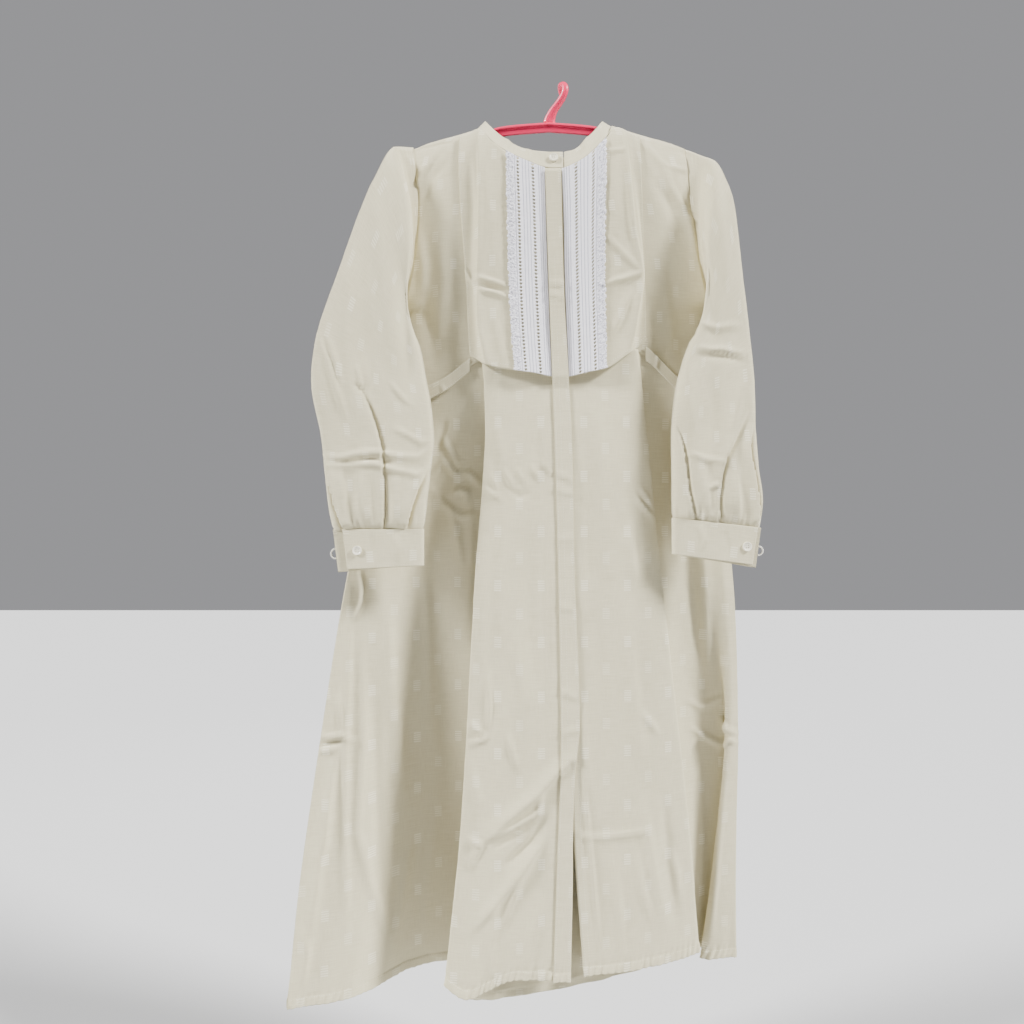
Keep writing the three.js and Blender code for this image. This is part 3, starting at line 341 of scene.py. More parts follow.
def bodice_y(x: Array, z: Array, facing: Facing) -> Array:
    """Depth of the bodice's front or back sheet.

    Args:
        x: places across.
        z: heights.
        facing: front or back sheet.

    Returns:
        One depth for each place.
    """
    x, z = np.broadcast_arrays(np.asarray(x, float), np.asarray(z, float))
    row = BODICE.at(z)
    middle = row["frontY"] if facing is Facing.FRONT else row["backY"]
    below = np.maximum(0, shoulder_z(x) - z)
    grown = 0 if facing is Facing.FRONT else np.clip((-200 - z) / 230, 0, 1)
    turn = lerp(1.5, 2.8, grown)
    slope = 1 - 0.66 * np.exp(-below / 22) - 0.34 * np.exp(-below / 1.6)
    hang = np.empty_like(x)
    for side in Side:
        at = x < CENTRE_X if side is Side.LEFT else x >= CENTRE_X
        reach = np.minimum(z, ARMHOLE[side].top_z - 6)
        ex, ey = edge_at(side, reach, facing)
        calm = sum(edge_at(side, np.minimum(reach + step, ARMHOLE[side].top_z - 6), facing)[1]
                   for step in CALM_STEPS) / len(CALM_STEPS)
        out = np.clip(np.abs(x - CENTRE_X) / np.abs(ex - CENTRE_X), 0, 1)
        hang = np.where(at, (lerp(middle, calm, out**turn) + (ey - calm) * out**CALM_TURN) * slope, hang)
    over_arm = 6.4 * (1 - np.exp(-below / 1.2))
    sign = facing.value
    return np.where(below < 40, sign * np.maximum(sign * hang, over_arm), hang)


COLLAR = np.array([
    (1.5, -118, 1.5, -33, -96), (-20.8, -116.8, -20.4, -33, -95.5), (-51.2, -103.5, -49, -27, -88),
    (-75.9, -89, -72, -20, -72), (-96, -69, -87, -11, -55), (-106.5, -55, -95, 0, -42.4),
    (-97, -68, -88, 11, -50), (-72, -87, -67, 20, -67), (-40, -97, -38, 24, -76), (-13, -99, -13, 25, -78),
    (16, -96, 14, 24, -75), (41, -84, 36, 19, -64), (58, -68, 48, 11, -50), (65, -50.6, 53.4, 0, -42.4),
    (57, -72, 46, -11, -55), (41.5, -91, 33, -20, -72), (22.1, -107.7, 17, -28, -90),
    (2.8, -118, 2.8, -33, -96)], dtype=float)  # seam x, seam z, top x, top y, top z
NECK_LEFT, NECK_RIGHT = 5, 13  # rows where the shoulder folds meet the collar


def collar_seam() -> Array:
    """Places the collar's seam on the body.

    Returns:
        Its points, on the body's front and back sheets.
    """
    front = bodice_y(COLLAR[:, 0], COLLAR[:, 1], Facing.FRONT)
    back = bodice_y(COLLAR[:, 0], COLLAR[:, 1], Facing.BACK)
    i = np.arange(len(COLLAR))
    y = np.where((i < NECK_LEFT) | (i > NECK_RIGHT), front, back)
    y[[NECK_LEFT, NECK_RIGHT]] = 0
    return np.stack([COLLAR[:, 0], y, COLLAR[:, 1]], axis=1)


# ------------------------------------------------------------------------------------ creases
PLEAT_SKEW = 5.0  # creases this uneven are pleats: a raised side that ends in a sharp groove
CREASE_GAIN = 1.9


@dataclass(frozen=True)
class Crease:
    """A soft trough or ridge along a line, placed as it is seen from the front.

    Attributes:
        line: x and z of its points, on the plane of the hanger.
        width: half width of the form, in mm.
        depth: how far it stands out, or in where negative, in mm.
        skew: how far its softer side spreads past the sharper one. That is the left side of a line that
            runs down, or the right side where it is negative.
    """

    line: tuple[tuple[float, float], ...]
    width: float
    depth: float
    skew: float = 1.6

    def height(self, x: Array, z: Array) -> Array:
        """How far the cloth stands out at some places.

        Args:
            x: places across, seen from the front.
            z: heights, seen from the front.

        Returns:
            The height of the form at each place, in mm.
        """
        points = np.array(self.line)
        lengths = np.linalg.norm(np.diff(points, axis=0), axis=1)
        total = lengths.sum()
        nearest = np.full(x.shape, np.inf)
        signed = np.zeros(x.shape)
        place = np.zeros(x.shape)
        done = 0.0
        for (ax, az), (bx, bz), length in zip(points[:-1], points[1:], lengths):
            dx, dz = (bx - ax) / length, (bz - az) / length
            t = np.clip((x - ax) * dx + (z - az) * dz, 0, length)
            ox, oz = x - ax - t * dx, z - az - t * dz
            distance = np.hypot(ox, oz)
            closer = distance < nearest
            nearest = np.where(closer, distance, nearest)
            signed = np.where(closer, np.sign(ox * dz - oz * dx), signed)
            place = np.where(closer, (done + t) / total, place)
            done += length
        if abs(self.skew) >= PLEAT_SKEW:
            fade = np.clip(place / 0.3, 0, 1) ** 0.7
            soft = signed * self.skew > 0
            shape = np.where(soft, np.exp(-((nearest / (self.width * abs(self.skew))) ** 2)),
                             -1.1 * np.exp(-((nearest / self.width - 0.7) / 0.8) ** 2))
            return self.depth * fade * shape * (nearest < 60)
        width = self.width * np.where(signed * self.skew > 0, abs(self.skew), 1.0)
        fade = np.sin(np.pi * np.clip(place, 0.02, 0.98)) ** 0.6
        return self.depth * CREASE_GAIN * fade * np.exp(-((nearest / width) ** 2))


def seen(grid: Array) -> tuple[Array, Array]:
    """Where a grid's points are seen from the front, on the plane of the hanger."""
    scale = -EYE[1] / (grid[..., 1] - EYE[1])
    return EYE[0] + (grid[..., 0] - EYE[0]) * scale, EYE[2] + (grid[..., 2] - EYE[2]) * scale


def creases(*rows: str) -> tuple[Crease, ...]:
    """Reads creases from rows of numbers.

    Args:
        rows: width, depth, skew, then the x and z of each point, for each crease.

    Returns:
        The creases.
    """
    made = []
    for row in rows:
        width, depth, skew, *line = (float(number) for number in row.split())
        made.append(Crease(tuple(zip(line[::2], line[1::2])), width, depth, skew))
    return tuple(made)


def creased(grid: Array, forms: Sequence[Crease], mask: Array | float = 1.0, rumple: float = 0.3,
            seed: int = 1) -> Array:
    """The grid with its creases and a faint unevenness pressed in along its normals.

    Args:
        grid: points of the cloth's middle, facing out.
        forms: the creases to add.
        mask: how much of the creases each point takes.
        rumple: height of the unevenness in mm.
        seed: which random field the unevenness uses.

    Returns:
        The grid of moved points.
    """
    x, z = seen(grid)
    height = np.zeros(x.shape)
    for form in forms:
        height += form.height(x, z)
    uneven = (smooth_noise(x, z * 0.45, 31, seed) + 0.55 * smooth_noise(x * 1.2, z * 0.8, 13, seed + 1)
              + 0.3 * smooth_noise(x, z, 6.5, seed + 2))
    return grid + normals(grid) * (height * mask + rumple * uneven)[..., None]


def towards(grid: Array, facing: Facing) -> Array:
    """How far a grid's points face the front or the back, from 0 to 1."""
    return np.clip(normals(grid)[..., 1] * facing.value / 0.4, 0, 1)


def hemmed(grid: Array, depth: float = 11.0, wave: float = 8.5) -> Array:
    """Turns up a slightly puckered hem along a grid's last row.

    Args:
        grid: rows and columns of points.
        depth: the hem's depth in mm.
        wave: the length of a pucker in mm.

    Returns:
        The grid with its hem.
    """
    step = np.linalg.norm(np.diff(grid, axis=0), axis=2)
    above = np.cumsum(step[::-1], axis=0)[::-1]
    above = np.concatenate([above, np.zeros((1, grid.shape[1]))])
    along = np.concatenate([[0], np.cumsum(np.linalg.norm(np.diff(grid[-1], axis=0), axis=1))])[None]
    drift = 3 * smooth_noise(along, along * 0, 23, 5)
    pucker = np.sin(2 * np.pi * ((along + drift) / wave + above / 26))
    on = np.clip((depth - above) / 1.5, 0, 1)
    near = np.exp(-(((above - depth) / 5.0) ** 2))
    drawn = smooth_noise(along, along * 0, 9, 6) * np.exp(-((above / 34) ** 2))
    height = 0.6 * on + 0.75 * pucker * np.maximum(on, near) - 0.45 * near + 1.1 * drawn
    return grid + normals(grid) * height[..., None]


def inset(grid: Array, edge: str, distance: float, span: tuple[float, float] = (0.0, 1.0)) -> Array:
    """A line on a grid at a distance from one edge.

    Args:
        grid: the cloth's points.
        edge: first or last, for rows; start or end, for columns.
        distance: how far in from that edge, in mm.
        span: the share of the line that is kept.

    Returns:
        The line's points and their normals, in two arrays side by side.
    """
    data = np.concatenate([grid, normals(grid)], axis=2)
    if edge in ("first", "last"):
        data = data.transpose(1, 0, 2)
    if edge in ("last", "end"):
        data = data[:, ::-1]
    run = np.concatenate([np.zeros((len(data), 1)), np.cumsum(
        np.linalg.norm(np.diff(data[..., :3], axis=1), axis=2), axis=1)], axis=1)
    line = np.array([[np.interp(distance, place, row[:, k]) for k in range(6)]
                     for place, row in zip(run, data)])
    first, last = (round(share * (len(line) - 1)) for share in span)
    return line[first:last + 1]


CREASES: dict[tuple[str, Side], tuple[Crease, ...]] = {
    ("sleeve", Side.LEFT): creases(
        "2.3 3.4 7 -263 -375 -253 -384 -243 -405 -234 -430 -227 -459 -225 -485 -224 -523 -225 -560",
        "2.3 4.6 6 -169 -485 -180 -508 -189 -533 -196 -560",
        "2.6 2 1.5 -300 -466 -280 -469 -252 -463 -229 -462 -203 -467 -180 -468 -163 -455",
        "2.2 -1.3 1.5 -299 -472 -273 -474 -239 -471 -210 -477",
        "2.6 2 1.5 -296 -477 -267 -478 -239 -476 -206 -485 -182 -490 -165 -480",
        "3.2 1.7 1.6 -306 -313 -292 -347 -283 -380 -272 -419",
        "2.6 1.4 1.6 -297 -311 -285 -345 -277 -375", "2.2 -1.2 1.6 -302 -316 -288 -350 -280 -386",
        "1.8 1.4 1.6 -258 -350 -255 -365 -252 -383", "1.6 -1.1 1.6 -262 -377 -255 -380 -249 -387",
        "2.2 1.5 1.6 -215 -374 -205 -386 -197 -396 -187 -401",
        "2.4 1.7 1.6 -211 -431 -193 -440 -178 -449 -164 -447",
        "9 1.9 1.2 -234 -129 -224 -218 -216 -307 -208 -370",
        "7 -1.6 1.2 -206 -180 -198 -256 -193 -332 -188 -396", "9 1.5 1.2 -264 -218 -269 -307 -267 -396",
        "7 -1.2 1.2 -247 -269 -244 -345 -239 -396", "4 1.4 1.4 -280 -485 -273 -523 -267 -558",
        "5 1.4 1.4 -254 -491 -252 -529 -249 -560", "4 1.4 1.4 -207 -491 -208 -529 -211 -560",
        "3 -1 1.4 -239 -497 -238 -529 -236 -558", "2 4.4 -6 -299 -467 -294 -497 -285 -533 -273 -566"),
    ("sleeve", Side.RIGHT): creases(
        "2.3 3 7 240 -411 230 -431 222 -448 212 -468 206 -492 203 -518 202 -553",
        "2.7 3.1 6 146 -426 154 -445 159 -468 163 -508 172 -548",
        "2.8 1.6 1.5 169 -294 186 -300 202 -304 229 -300",
        "2.8 2.1 1.5 174 -328 191 -332 206 -332 238 -339", "2.6 -1.3 1.5 174 -336 206 -339 235 -345",
        "2.4 1.7 1.5 161 -463 174 -466 187 -471 213 -474", "2 1.8 1.5 188 -508 196 -504 203 -502",
        "8 1.7 1.2 199 -116 207 -167 213 -220 220 -281", "8 -1.5 1.2 186 -218 192 -269 198 -332",
        "7 1.5 1.2 230 -370 224 -406 213 -440", "8 1.4 1.2 165 -345 164 -396 169 -434",
        "7 -1.2 1.2 191 -360 193 -408 188 -447",
        "2 4.2 6 246 -426 241 -453 243 -472 248 -495 252 -523 253 -553",
        "4 1.4 1.4 222 -485 226 -523 229 -556", "4 1.3 1.4 183 -485 186 -523 187 -551"),
    ("sleeve_back", Side.LEFT): creases(
        "3 1.9 1.5 -273 -466 -241 -459 -203 -469 -173 -462",
        "2.4 2.8 6 -239 -396 -230 -434 -226 -485 -229 -556", "2.4 2.4 -6 -198 -434 -201 -485 -197 -556",
        "8 1.7 1.2 -254 -205 -248 -307 -241 -396", "8 -1.5 1.2 -213 -167 -208 -269 -206 -370",
        "3.5 1.6 1.5 -282 -269 -267 -307 -252 -326"),
    ("sleeve_back", Side.RIGHT): creases(
        "3 1.9 1.5 160 -472 197 -466 231 -476", "2.4 2.8 -6 196 -401 189 -447 193 -497 193 -551",
        "2.4 2.4 6 222 -434 225 -485 220 -553", "8 1.7 1.2 197 -180 193 -281 188 -383",
        "7 -1.4 1.2 219 -243 216 -319 221 -396", "3.5 1.6 1.5 165 -319 180 -335 206 -332"),
    ("bodice", Side.LEFT): creases(
        "2.4 1.9 2.2 -151 -75 -160 -87 -173 -106 -184 -126 -194 -157",
        "4 -1.3 1.4 -144 -93 -163 -116 -177 -147", "1.3 -0.8 1.2 -187 -79 -165 -74 -132 -67",
        "10 1.8 1.2 -152 -173 -146 -243 -152 -307", "7 -1.4 1.2 -173 -256 -164 -307 -158 -345",
        "5 1.2 1.4 -180 -180 -173 -231 -175 -269"),
    ("bodice", Side.RIGHT): creases(
        "2.4 2 2.2 97 -63 117 -81 132 -98 144 -129 159 -153 169 -180 173 -208",
        "5 -1.4 1.4 121 -116 137 -142 152 -175", "2.4 1.6 1.5 160 -164 175 -168 194 -170",
        "3.6 1.8 1.5 169 -75 182 -97 189 -126", "3.4 1.5 1.5 152 -78 165 -110 168 -139",
        "2.2 0.9 1.5 132 -98 146 -101 163 -106", "8 1.6 1.2 127 -231 137 -294 142 -347",
        "5 -1.1 1.2 114 -269 121 -326"),
    ("bib", Side.LEFT): creases(
        "1.6 2.2 -3 -104 -54 -102 -120 -103 -203 -105 -239", "1.6 2.6 -3 -104 -255 -102 -299 -94 -350",
        "2.1 1.9 1.6 -107 -239 -91 -243 -67 -251", "1.9 -1.5 1.4 -105 -248 -89 -252 -66 -257",
        "2.2 1.7 1.6 -104 -255 -86 -258 -64 -266", "2.4 1.6 1.5 -122 -228 -113 -242 -105 -248",
        "6 1.2 1.2 -89 -103 -86 -180 -84 -228", "5 1.2 1.2 -84 -275 -78 -319 -72 -350",
        "4 -1 1.2 -114 -91 -111 -154 -112 -218"),
    ("bib", Side.RIGHT): creases(
        "1.6 2.4 3 83 -60 87 -106 94 -176 105 -231", "1.6 2.4 3 106 -238 97 -285 90 -332",
        "2.3 1.8 1.5 105 -234 81 -242 51 -250", "2.8 1.5 1.5 58 -185 79 -208 102 -231",
        "3.4 1.5 1.5 90 -258 79 -284 67 -312", "1.8 1.1 1.5 58 -79 70 -79 84 -77",
        "6 1.2 1.2 67 -103 71 -161 66 -192"),
    ("placket", Side.LEFT): creases(
        "1.9 1.1 1.4 -18 -248 9 -247", "1.9 1.1 1.4 -17 -260 10 -266", "2.2 1.1 1.4 -10 -487 20 -497",
        "2.2 1.1 1.4 -11 -508 22 -516", "3 0.7 1.4 -8 -574 23 -568", "3 0.8 1.4 -8 -656 23 -663",
        "3 0.9 1.4 -5 -764 25 -774", "3 0.9 1.4 -3 -821 28 -812"),
    ("panel", Side.LEFT): creases(
        "1.8 1.4 1.4 -89 -490 -84 -500 -78 -511", "1.8 1.4 1.4 -71 -485 -65 -495 -60 -506",
        "1.8 1.3 1.4 -55 -482 -50 -492 -44 -504", "1.8 1.4 1.4 -38 -480 -32 -488 -25 -499",
        "1.8 1.3 1.4 -24 -473 -18 -481 -10 -491", "2.6 1.8 1.4 -97 -506 -86 -515 -74 -520",
        "2.6 -1.1 1.4 -66 -510 -51 -518 -36 -513", "2.2 2.6 1.5 -118 -805 -109 -811 -97 -821",
        "2.4 2.4 1.5 -118 -834 -107 -829 -90 -824", "1.8 -1.8 1.4 -119 -819 -109 -821 -99 -824",
        "2.8 1.8 1.4 -91 -741 -89 -783 -91 -823", "3.6 1.8 1.4 -66 -819 -60 -843 -53 -868",
        "4 1.5 1.3 -114 -859 -102 -904 -107 -950", "2.2 2.4 1.4 -116 -952 -107 -959 -98 -961",
        "2.4 2 1.4 -99 -962 -107 -975 -113 -993", "2.6 3.4 -4 -99 -961 -71 -934 -31 -901 0 -867 24 -843",
        "2 2.8 -2.2 -90 -954 -57 -938 -27 -920 -22 -899", "2.2 -1.8 1.4 -84 -965 -51 -942 -25 -927",
        "4.5 2.6 -1.8 -112 -1072 -71 -1022 -17 -951", "3.6 -2 1.4 -70 -988 -38 -957 -18 -923",
        "5 1.8 1.3 -25 -961 -51 -1006 -76 -1069", "7 1.5 1.2 -25 -1031 -37 -1082 -41 -1130",
        "7 1.6 1.2 -83 -1031 -89 -1095 -86 -1133", "9 1.8 1.2 -69 -535 -74 -612 -76 -713",
        "8 -1.6 1.2 -38 -561 -41 -650 -37 -764", "8 1.6 1.2 -51 -701 -46 -764 -51 -821",
        "6 1.2 1.2 -19 -389 -22 -434 -18 -485", "7 1.5 1.2 -76 -377 -80 -434 -72 -482",
        "6 1.4 1.2 -93 -599 -98 -675 -102 -764", "2.2 0.9 1.2 -15 -523 -17 -650 -14 -828"),
    ("wing", Side.LEFT): creases(
        "2.8 2.4 1.5 -160 -485 -149 -474 -131 -488 -113 -490 -98 -505",
        "2.6 -1.8 1.4 -140 -476 -127 -487 -109 -500",
        "2.6 2.4 1.4 -136 -515 -127 -509 -116 -513 -119 -525",
        "2.4 1.9 1.4 -164 -508 -145 -529 -125 -543 -102 -539",
        "3.4 1.8 1.4 -139 -533 -128 -574 -121 -614", "5 1.6 1.3 -114 -523 -112 -599 -114 -688",
        "3.6 1.7 1.4 -152 -441 -140 -459 -127 -482", "4 -1.2 1.4 -145 -421 -152 -447 -158 -466",
        "1.8 2.4 1.6 -254 -614 -249 -635 -250 -652 -260 -673",
        "2.8 2.4 1.4 -281 -771 -280 -800 -280 -825",
        "4.6 2.2 1.4 -280 -828 -287 -856 -295 -904 -300 -974",
        "2.2 2.6 1.4 -308 -823 -292 -824 -278 -821 -259 -830", "2 -2 1.4 -305 -834 -290 -832 -277 -828",
        "2.2 2 1.4 -308 -843 -295 -840 -282 -834",
        "5 2.2 1.3 -267 -637 -269 -726 -273 -828 -274 -929 -271 -1069",
        "7 2 1.3 -292 -891 -308 -993 -323 -1114",
        "6 1.9 1.3 -252 -701 -250 -828 -257 -945 -241 -1006 -207 -1102",
        "4.4 2.4 1.5 -187 -942 -200 -1018 -216 -1112", "9 2.2 1.2 -224 -637 -213 -777 -198 -917",
        "7 -1.8 1.2 -236 -764 -233 -891 -224 -1031", "3.6 1.7 1.3 -332 -1063 -321 -1095 -327 -1139",
        "8 1.6 1.2 -172 -599 -168 -713 -163 -853", "7 1.7 1.2 -152 -879 -163 -967 -173 -1082"),
    ("panel", Side.RIGHT): creases(
        "2.8 1.7 1 28 -850 34 -928 42 -1020 53 -1115", "5 1.6 1.3 96 -965 101 -1010 118 -1062",
        "6 -1.5 1.2 132 -900 140 -985 150 -1060",
        "2 2.3 1.5 95 -519 108 -533 122 -547", "1.9 1.6 1.5 102 -509 112 -520 119 -533",
        "6 1.6 1.3 91 -548 89 -580 94 -631", "2.8 1.5 1.4 18 -945 36 -950 51 -951 83 -947 116 -941",
        "3.6 1.5 1.4 102 -792 114 -805 125 -818", "4.6 1.6 1.4 140 -962 147 -995 150 -1031",
        "10 1.8 1.2 51 -396 56 -497 58 -612", "9 1.7 1.2 86 -650 90 -751 103 -859",
        "9 -1.6 1.2 46 -650 51 -764 56 -891", "8 1.8 1.2 102 -898 116 -980 133 -1075",
        "6 1.6 1.2 66 -967 74 -1050 79 -1110", "8 -1.3 1.2 32 -421 30 -548 36 -650",
        "5 1.2 1.3 28 -777 33 -853 41 -904"),
    ("wing", Side.RIGHT): creases(
        "8 2 1.2 178 -510 184 -624 188 -739", "2.8 2 1.4 165 -812 188 -824 208 -835",
        "2.8 1.7 1.4 160 -777 178 -785 193 -779 208 -774", "5 1.6 1.3 137 -472 142 -542 150 -602",
        "2.3 2.8 1.4 203 -795 211 -814 225 -819", "2 2 1.4 225 -832 215 -828 205 -839",
        "3.6 1.6 1.4 212 -851 203 -955 192 -1072", "6 -1.4 1.2 165 -599 175 -701 186 -777",
        "5 1.4 1.2 178 -866 180 -955 178 -1031"),
    ("back", Side.LEFT): creases(
        "9 2.4 1.3 -165 -307 -188 -523 -201 -777 -229 -1069", "8 -2 1.3 -76 -269 -83 -523 -102 -853",
        "10 2.4 1.3 0 -205 6 -421 19 -701 38 -1069", "9 2.2 1.3 102 -307 114 -548 137 -853",
        "2.8 2.3 1.5 -114 -500 -89 -485 -48 -505", "2.8 2.4 1.5 51 -802 76 -812 114 -800",
        "2.8 2.2 1.5 -53 -856 -25 -834 10 -830", "2.8 2.4 1.5 -274 -830 -241 -820 -211 -834",
        "7 1.7 1.3 -127 -103 -114 -154 -117 -211", "7 1.7 1.3 76 -103 66 -167 74 -220",
        "9 -1.8 1.3 -32 -523 -25 -701 -38 -904", "8 2 1.3 178 -548 186 -777 178 -1031",
        "8 2 1.3 -140 -777 -145 -929 -158 -1095", "3 1.6 1.4 64 -269 48 -307 0 -326",
        "2.8 2 1.5 102 -485 121 -502 158 -497"),
    ("band", Side.LEFT): creases(
        "2 0.8 1.4 -152 -375 -145 -388 -140 -398"),
    ("band", Side.RIGHT): creases(
        "2 0.8 1.4 127 -335 123 -347 122 -360"),
    ("collar", Side.LEFT): creases(
        "2.5 0.8 1.4 -76 -50 -67 -63 -62 -78", "2.5 0.8 1.4 38 -50 33 -65 30 -78",
        "2.5 0.6 1.4 -41 -73 -38 -86 -37 -96"),
    ("cuff", Side.LEFT): creases(
        "4 0.9 1.3 -210 -566 -206 -584 -207 -602", "4 -0.7 1.3 -241 -566 -239 -586 -240 -602"),
    ("cuff", Side.RIGHT): creases(
        "4 0.9 1.3 178 -553 182 -574 179 -589", "4 -0.7 1.3 210 -561 212 -580 211 -596"),
}


# ------------------------------------------------------------------------------------ meshes
ALL_STRAIGHT = -2


def run_along(grid: Array, axis: int) -> Array:
    """Measures along a grid's rows or columns.

    Args:
        grid: rows and columns of points.
        axis: 0 to go down the columns, 1 to go across the rows.

    Returns:
        Each point's distance from the first one of its column or row.
    """
    step = np.linalg.norm(np.diff(grid, axis=axis), axis=2)
    pad = [(1, 0) if k == axis else (0, 0) for k in range(2)]
    return np.pad(np.cumsum(step, axis=axis), pad)


def sheet_object(name: str, grid: Array, thickness: float = CLOTH, uv: Array | None = None,
                 holes: Array | None = None, grain: int | None = None) -> bpy.types.Object:
    """A thin closed shell over a grid of points, with a UV map in metres.

    Args:
        name: the piece's name.
        grid: points of the cloth's middle in mm, facing out.
        thickness: the wall's thickness in mm.
        uv: place on the flat cloth of each point, in mm.
        holes: True for each quad that is left out.
        grain: the column along which the cloth's threads run straight down, or -2 for all of them.

    Returns:
        The finished piece.
    """
    rows, columns = grid.shape[:2]
    if grain == ALL_STRAIGHT:
        uv = grid[..., [0, 2]]
    elif grain is not None:
        across = run_along(grid, 1)
        uv = np.stack([across - across[:, [grain]], grid[..., 2]], axis=2)
    elif uv is None:
        across, down = run_along(grid, 1).mean(axis=0), run_along(grid, 0).mean(axis=1)
        uv = np.stack(np.broadcast_arrays(across[None], -down[:, None]), axis=2)
    n = normals(grid) * (thickness / 2)
    points = np.concatenate([(grid + n).reshape(-1, 3), (grid - n).reshape(-1, 3)]) * MM
    i, j = np.meshgrid(np.arange(rows - 1), np.arange(columns - 1), indexing="ij")
    keep = np.ones((rows - 1, columns - 1), bool) if holes is None else ~holes
    a = (i * columns + j)[keep]
    back = rows * columns
    outer = np.stack([a, a + 1, a + columns + 1, a + columns], axis=1)
    inner = np.stack([a + columns, a + columns + 1, a + 1, a], axis=1) + back
    walls = []
    padded = np.pad(keep, 1)
    for di, dj, p, q in ((-1, 0, 0, 1), (1, 0, columns + 1, columns), (0, -1, columns, 0),
                         (0, 1, 1, columns + 1)):
        edge = keep & ~padded[1 + di:rows + di, 1 + dj:columns + dj]
        b = (i * columns + j)[edge]
        walls.append(np.stack([b + q, b + p, b + p + back, b + q + back], axis=1))
    faces = np.concatenate([outer, inner, *walls])
    flat = np.concatenate([uv.reshape(-1, 2)] * 2) * MM
    return mesh_object(name, points, faces, flat)


def mesh_object(name: str, points: Array, faces: Array, flat: Array | None = None) -> bpy.types.Object:
    """A smooth-shaded mesh object at the origin.

    Args:
        name: its name.
        points: its corners in metres.
        faces: four corners in a row for each face.
        flat: UV place of each corner.

    Returns:
        The object, linked to the scene.
    """
    used, index = np.unique(faces, return_inverse=True)
    mesh = bpy.data.meshes.new(name)
    mesh.from_pydata(points[used].tolist(), [], index.reshape(faces.shape).tolist())
    if flat is not None:
        layer = mesh.uv_layers.new(name="cloth")
        corner = np.empty(len(mesh.loops), dtype=np.int32)
        mesh.loops.foreach_get("vertex_index", corner)
        layer.data.foreach_set("uv", flat[used][corner].ravel())
    mesh.validate()
    mesh.polygons.foreach_set("use_smooth", [True] * len(mesh.polygons))
    piece = bpy.data.objects.new(name, mesh)
    bpy.context.collection.objects.link(piece)
    return piece


# ------------------------------------------------------------------------------------ finishes
class Graph:
    """A material's node tree, with short ways to add and join its nodes."""

    def __init__(self, name: str) -> None:
        """Starts a material with a Principled shader.

        Args:
            name: the material's name.
        """
        self.material = bpy.data.materials.new(name)
        self.material.use_nodes = True
        self.tree = self.material.node_tree
        self.shader = self.tree.nodes["Principled BSDF"]

    def node(self, kind: str, inputs: dict | None = None, **settings) -> bpy.types.Node:
        """Adds a node.

        Args:
            kind: the node's type, without the words Shader Node.
            inputs: values or sockets for its inputs, by name or number.
            settings: its own settings.

        Returns:
            The new node.
        """
        made = self.tree.nodes.new("ShaderNode" + kind)
        for key, value in settings.items():
            setattr(made, key, value)
        for key, value in (inputs or {}).items():
            if isinstance(value, bpy.types.NodeSocket):
                self.tree.links.new(value, made.inputs[key])
            else:
                made.inputs[key].default_value = value
        return made

    def math(self, operation: str, *values: float | bpy.types.NodeSocket) -> bpy.types.NodeSocket:
        """The result of a math node on numbers or sockets."""
        return self.node("Math", dict(enumerate(values)), operation=operation).outputs[0]

    def mix(self, share: float | bpy.types.NodeSocket, a: tuple | bpy.types.NodeSocket,
            b: tuple | bpy.types.NodeSocket) -> bpy.types.NodeSocket:
        """A colour that goes from a to b as share goes from 0 to 1."""
        made = self.node("Mix", {0: share, 6: a, 7: b}, data_type="RGBA")
        return made.outputs[2]

    def noise(self, place: bpy.types.NodeSocket, scale: Sequence[float], detail: float = 2.0
              ) -> bpy.types.NodeSocket:
        """Smooth noise between 0 and 1, with its own scale along each axis.

        Args:
            place: the vector it is read at, in metres.
            scale: cells in a metre along X, Y and Z.
            detail: finer layers added.

        Returns:
            The noise's value.
        """
        mapped = self.node("Mapping", {0: place, 3: tuple(scale)}).outputs[0]
        return self.node("TexNoise", {"Vector": mapped, "Scale": 1.0, "Detail": detail}).outputs[0]

    def bump(self, height: bpy.types.NodeSocket, strength: float, distance: float) -> None:
        """Joins a height to the shader's normal.

        Args:
            height: the height's socket.
            strength: how strongly it shows.
            distance: metres of relief for a height of 1.
        """
        made = self.node("Bump", {"Height": height, "Strength": strength, "Distance": distance})
        self.tree.links.new(made.outputs[0], self.shader.inputs["Normal"])


Colour = tuple[float, float, float, float]


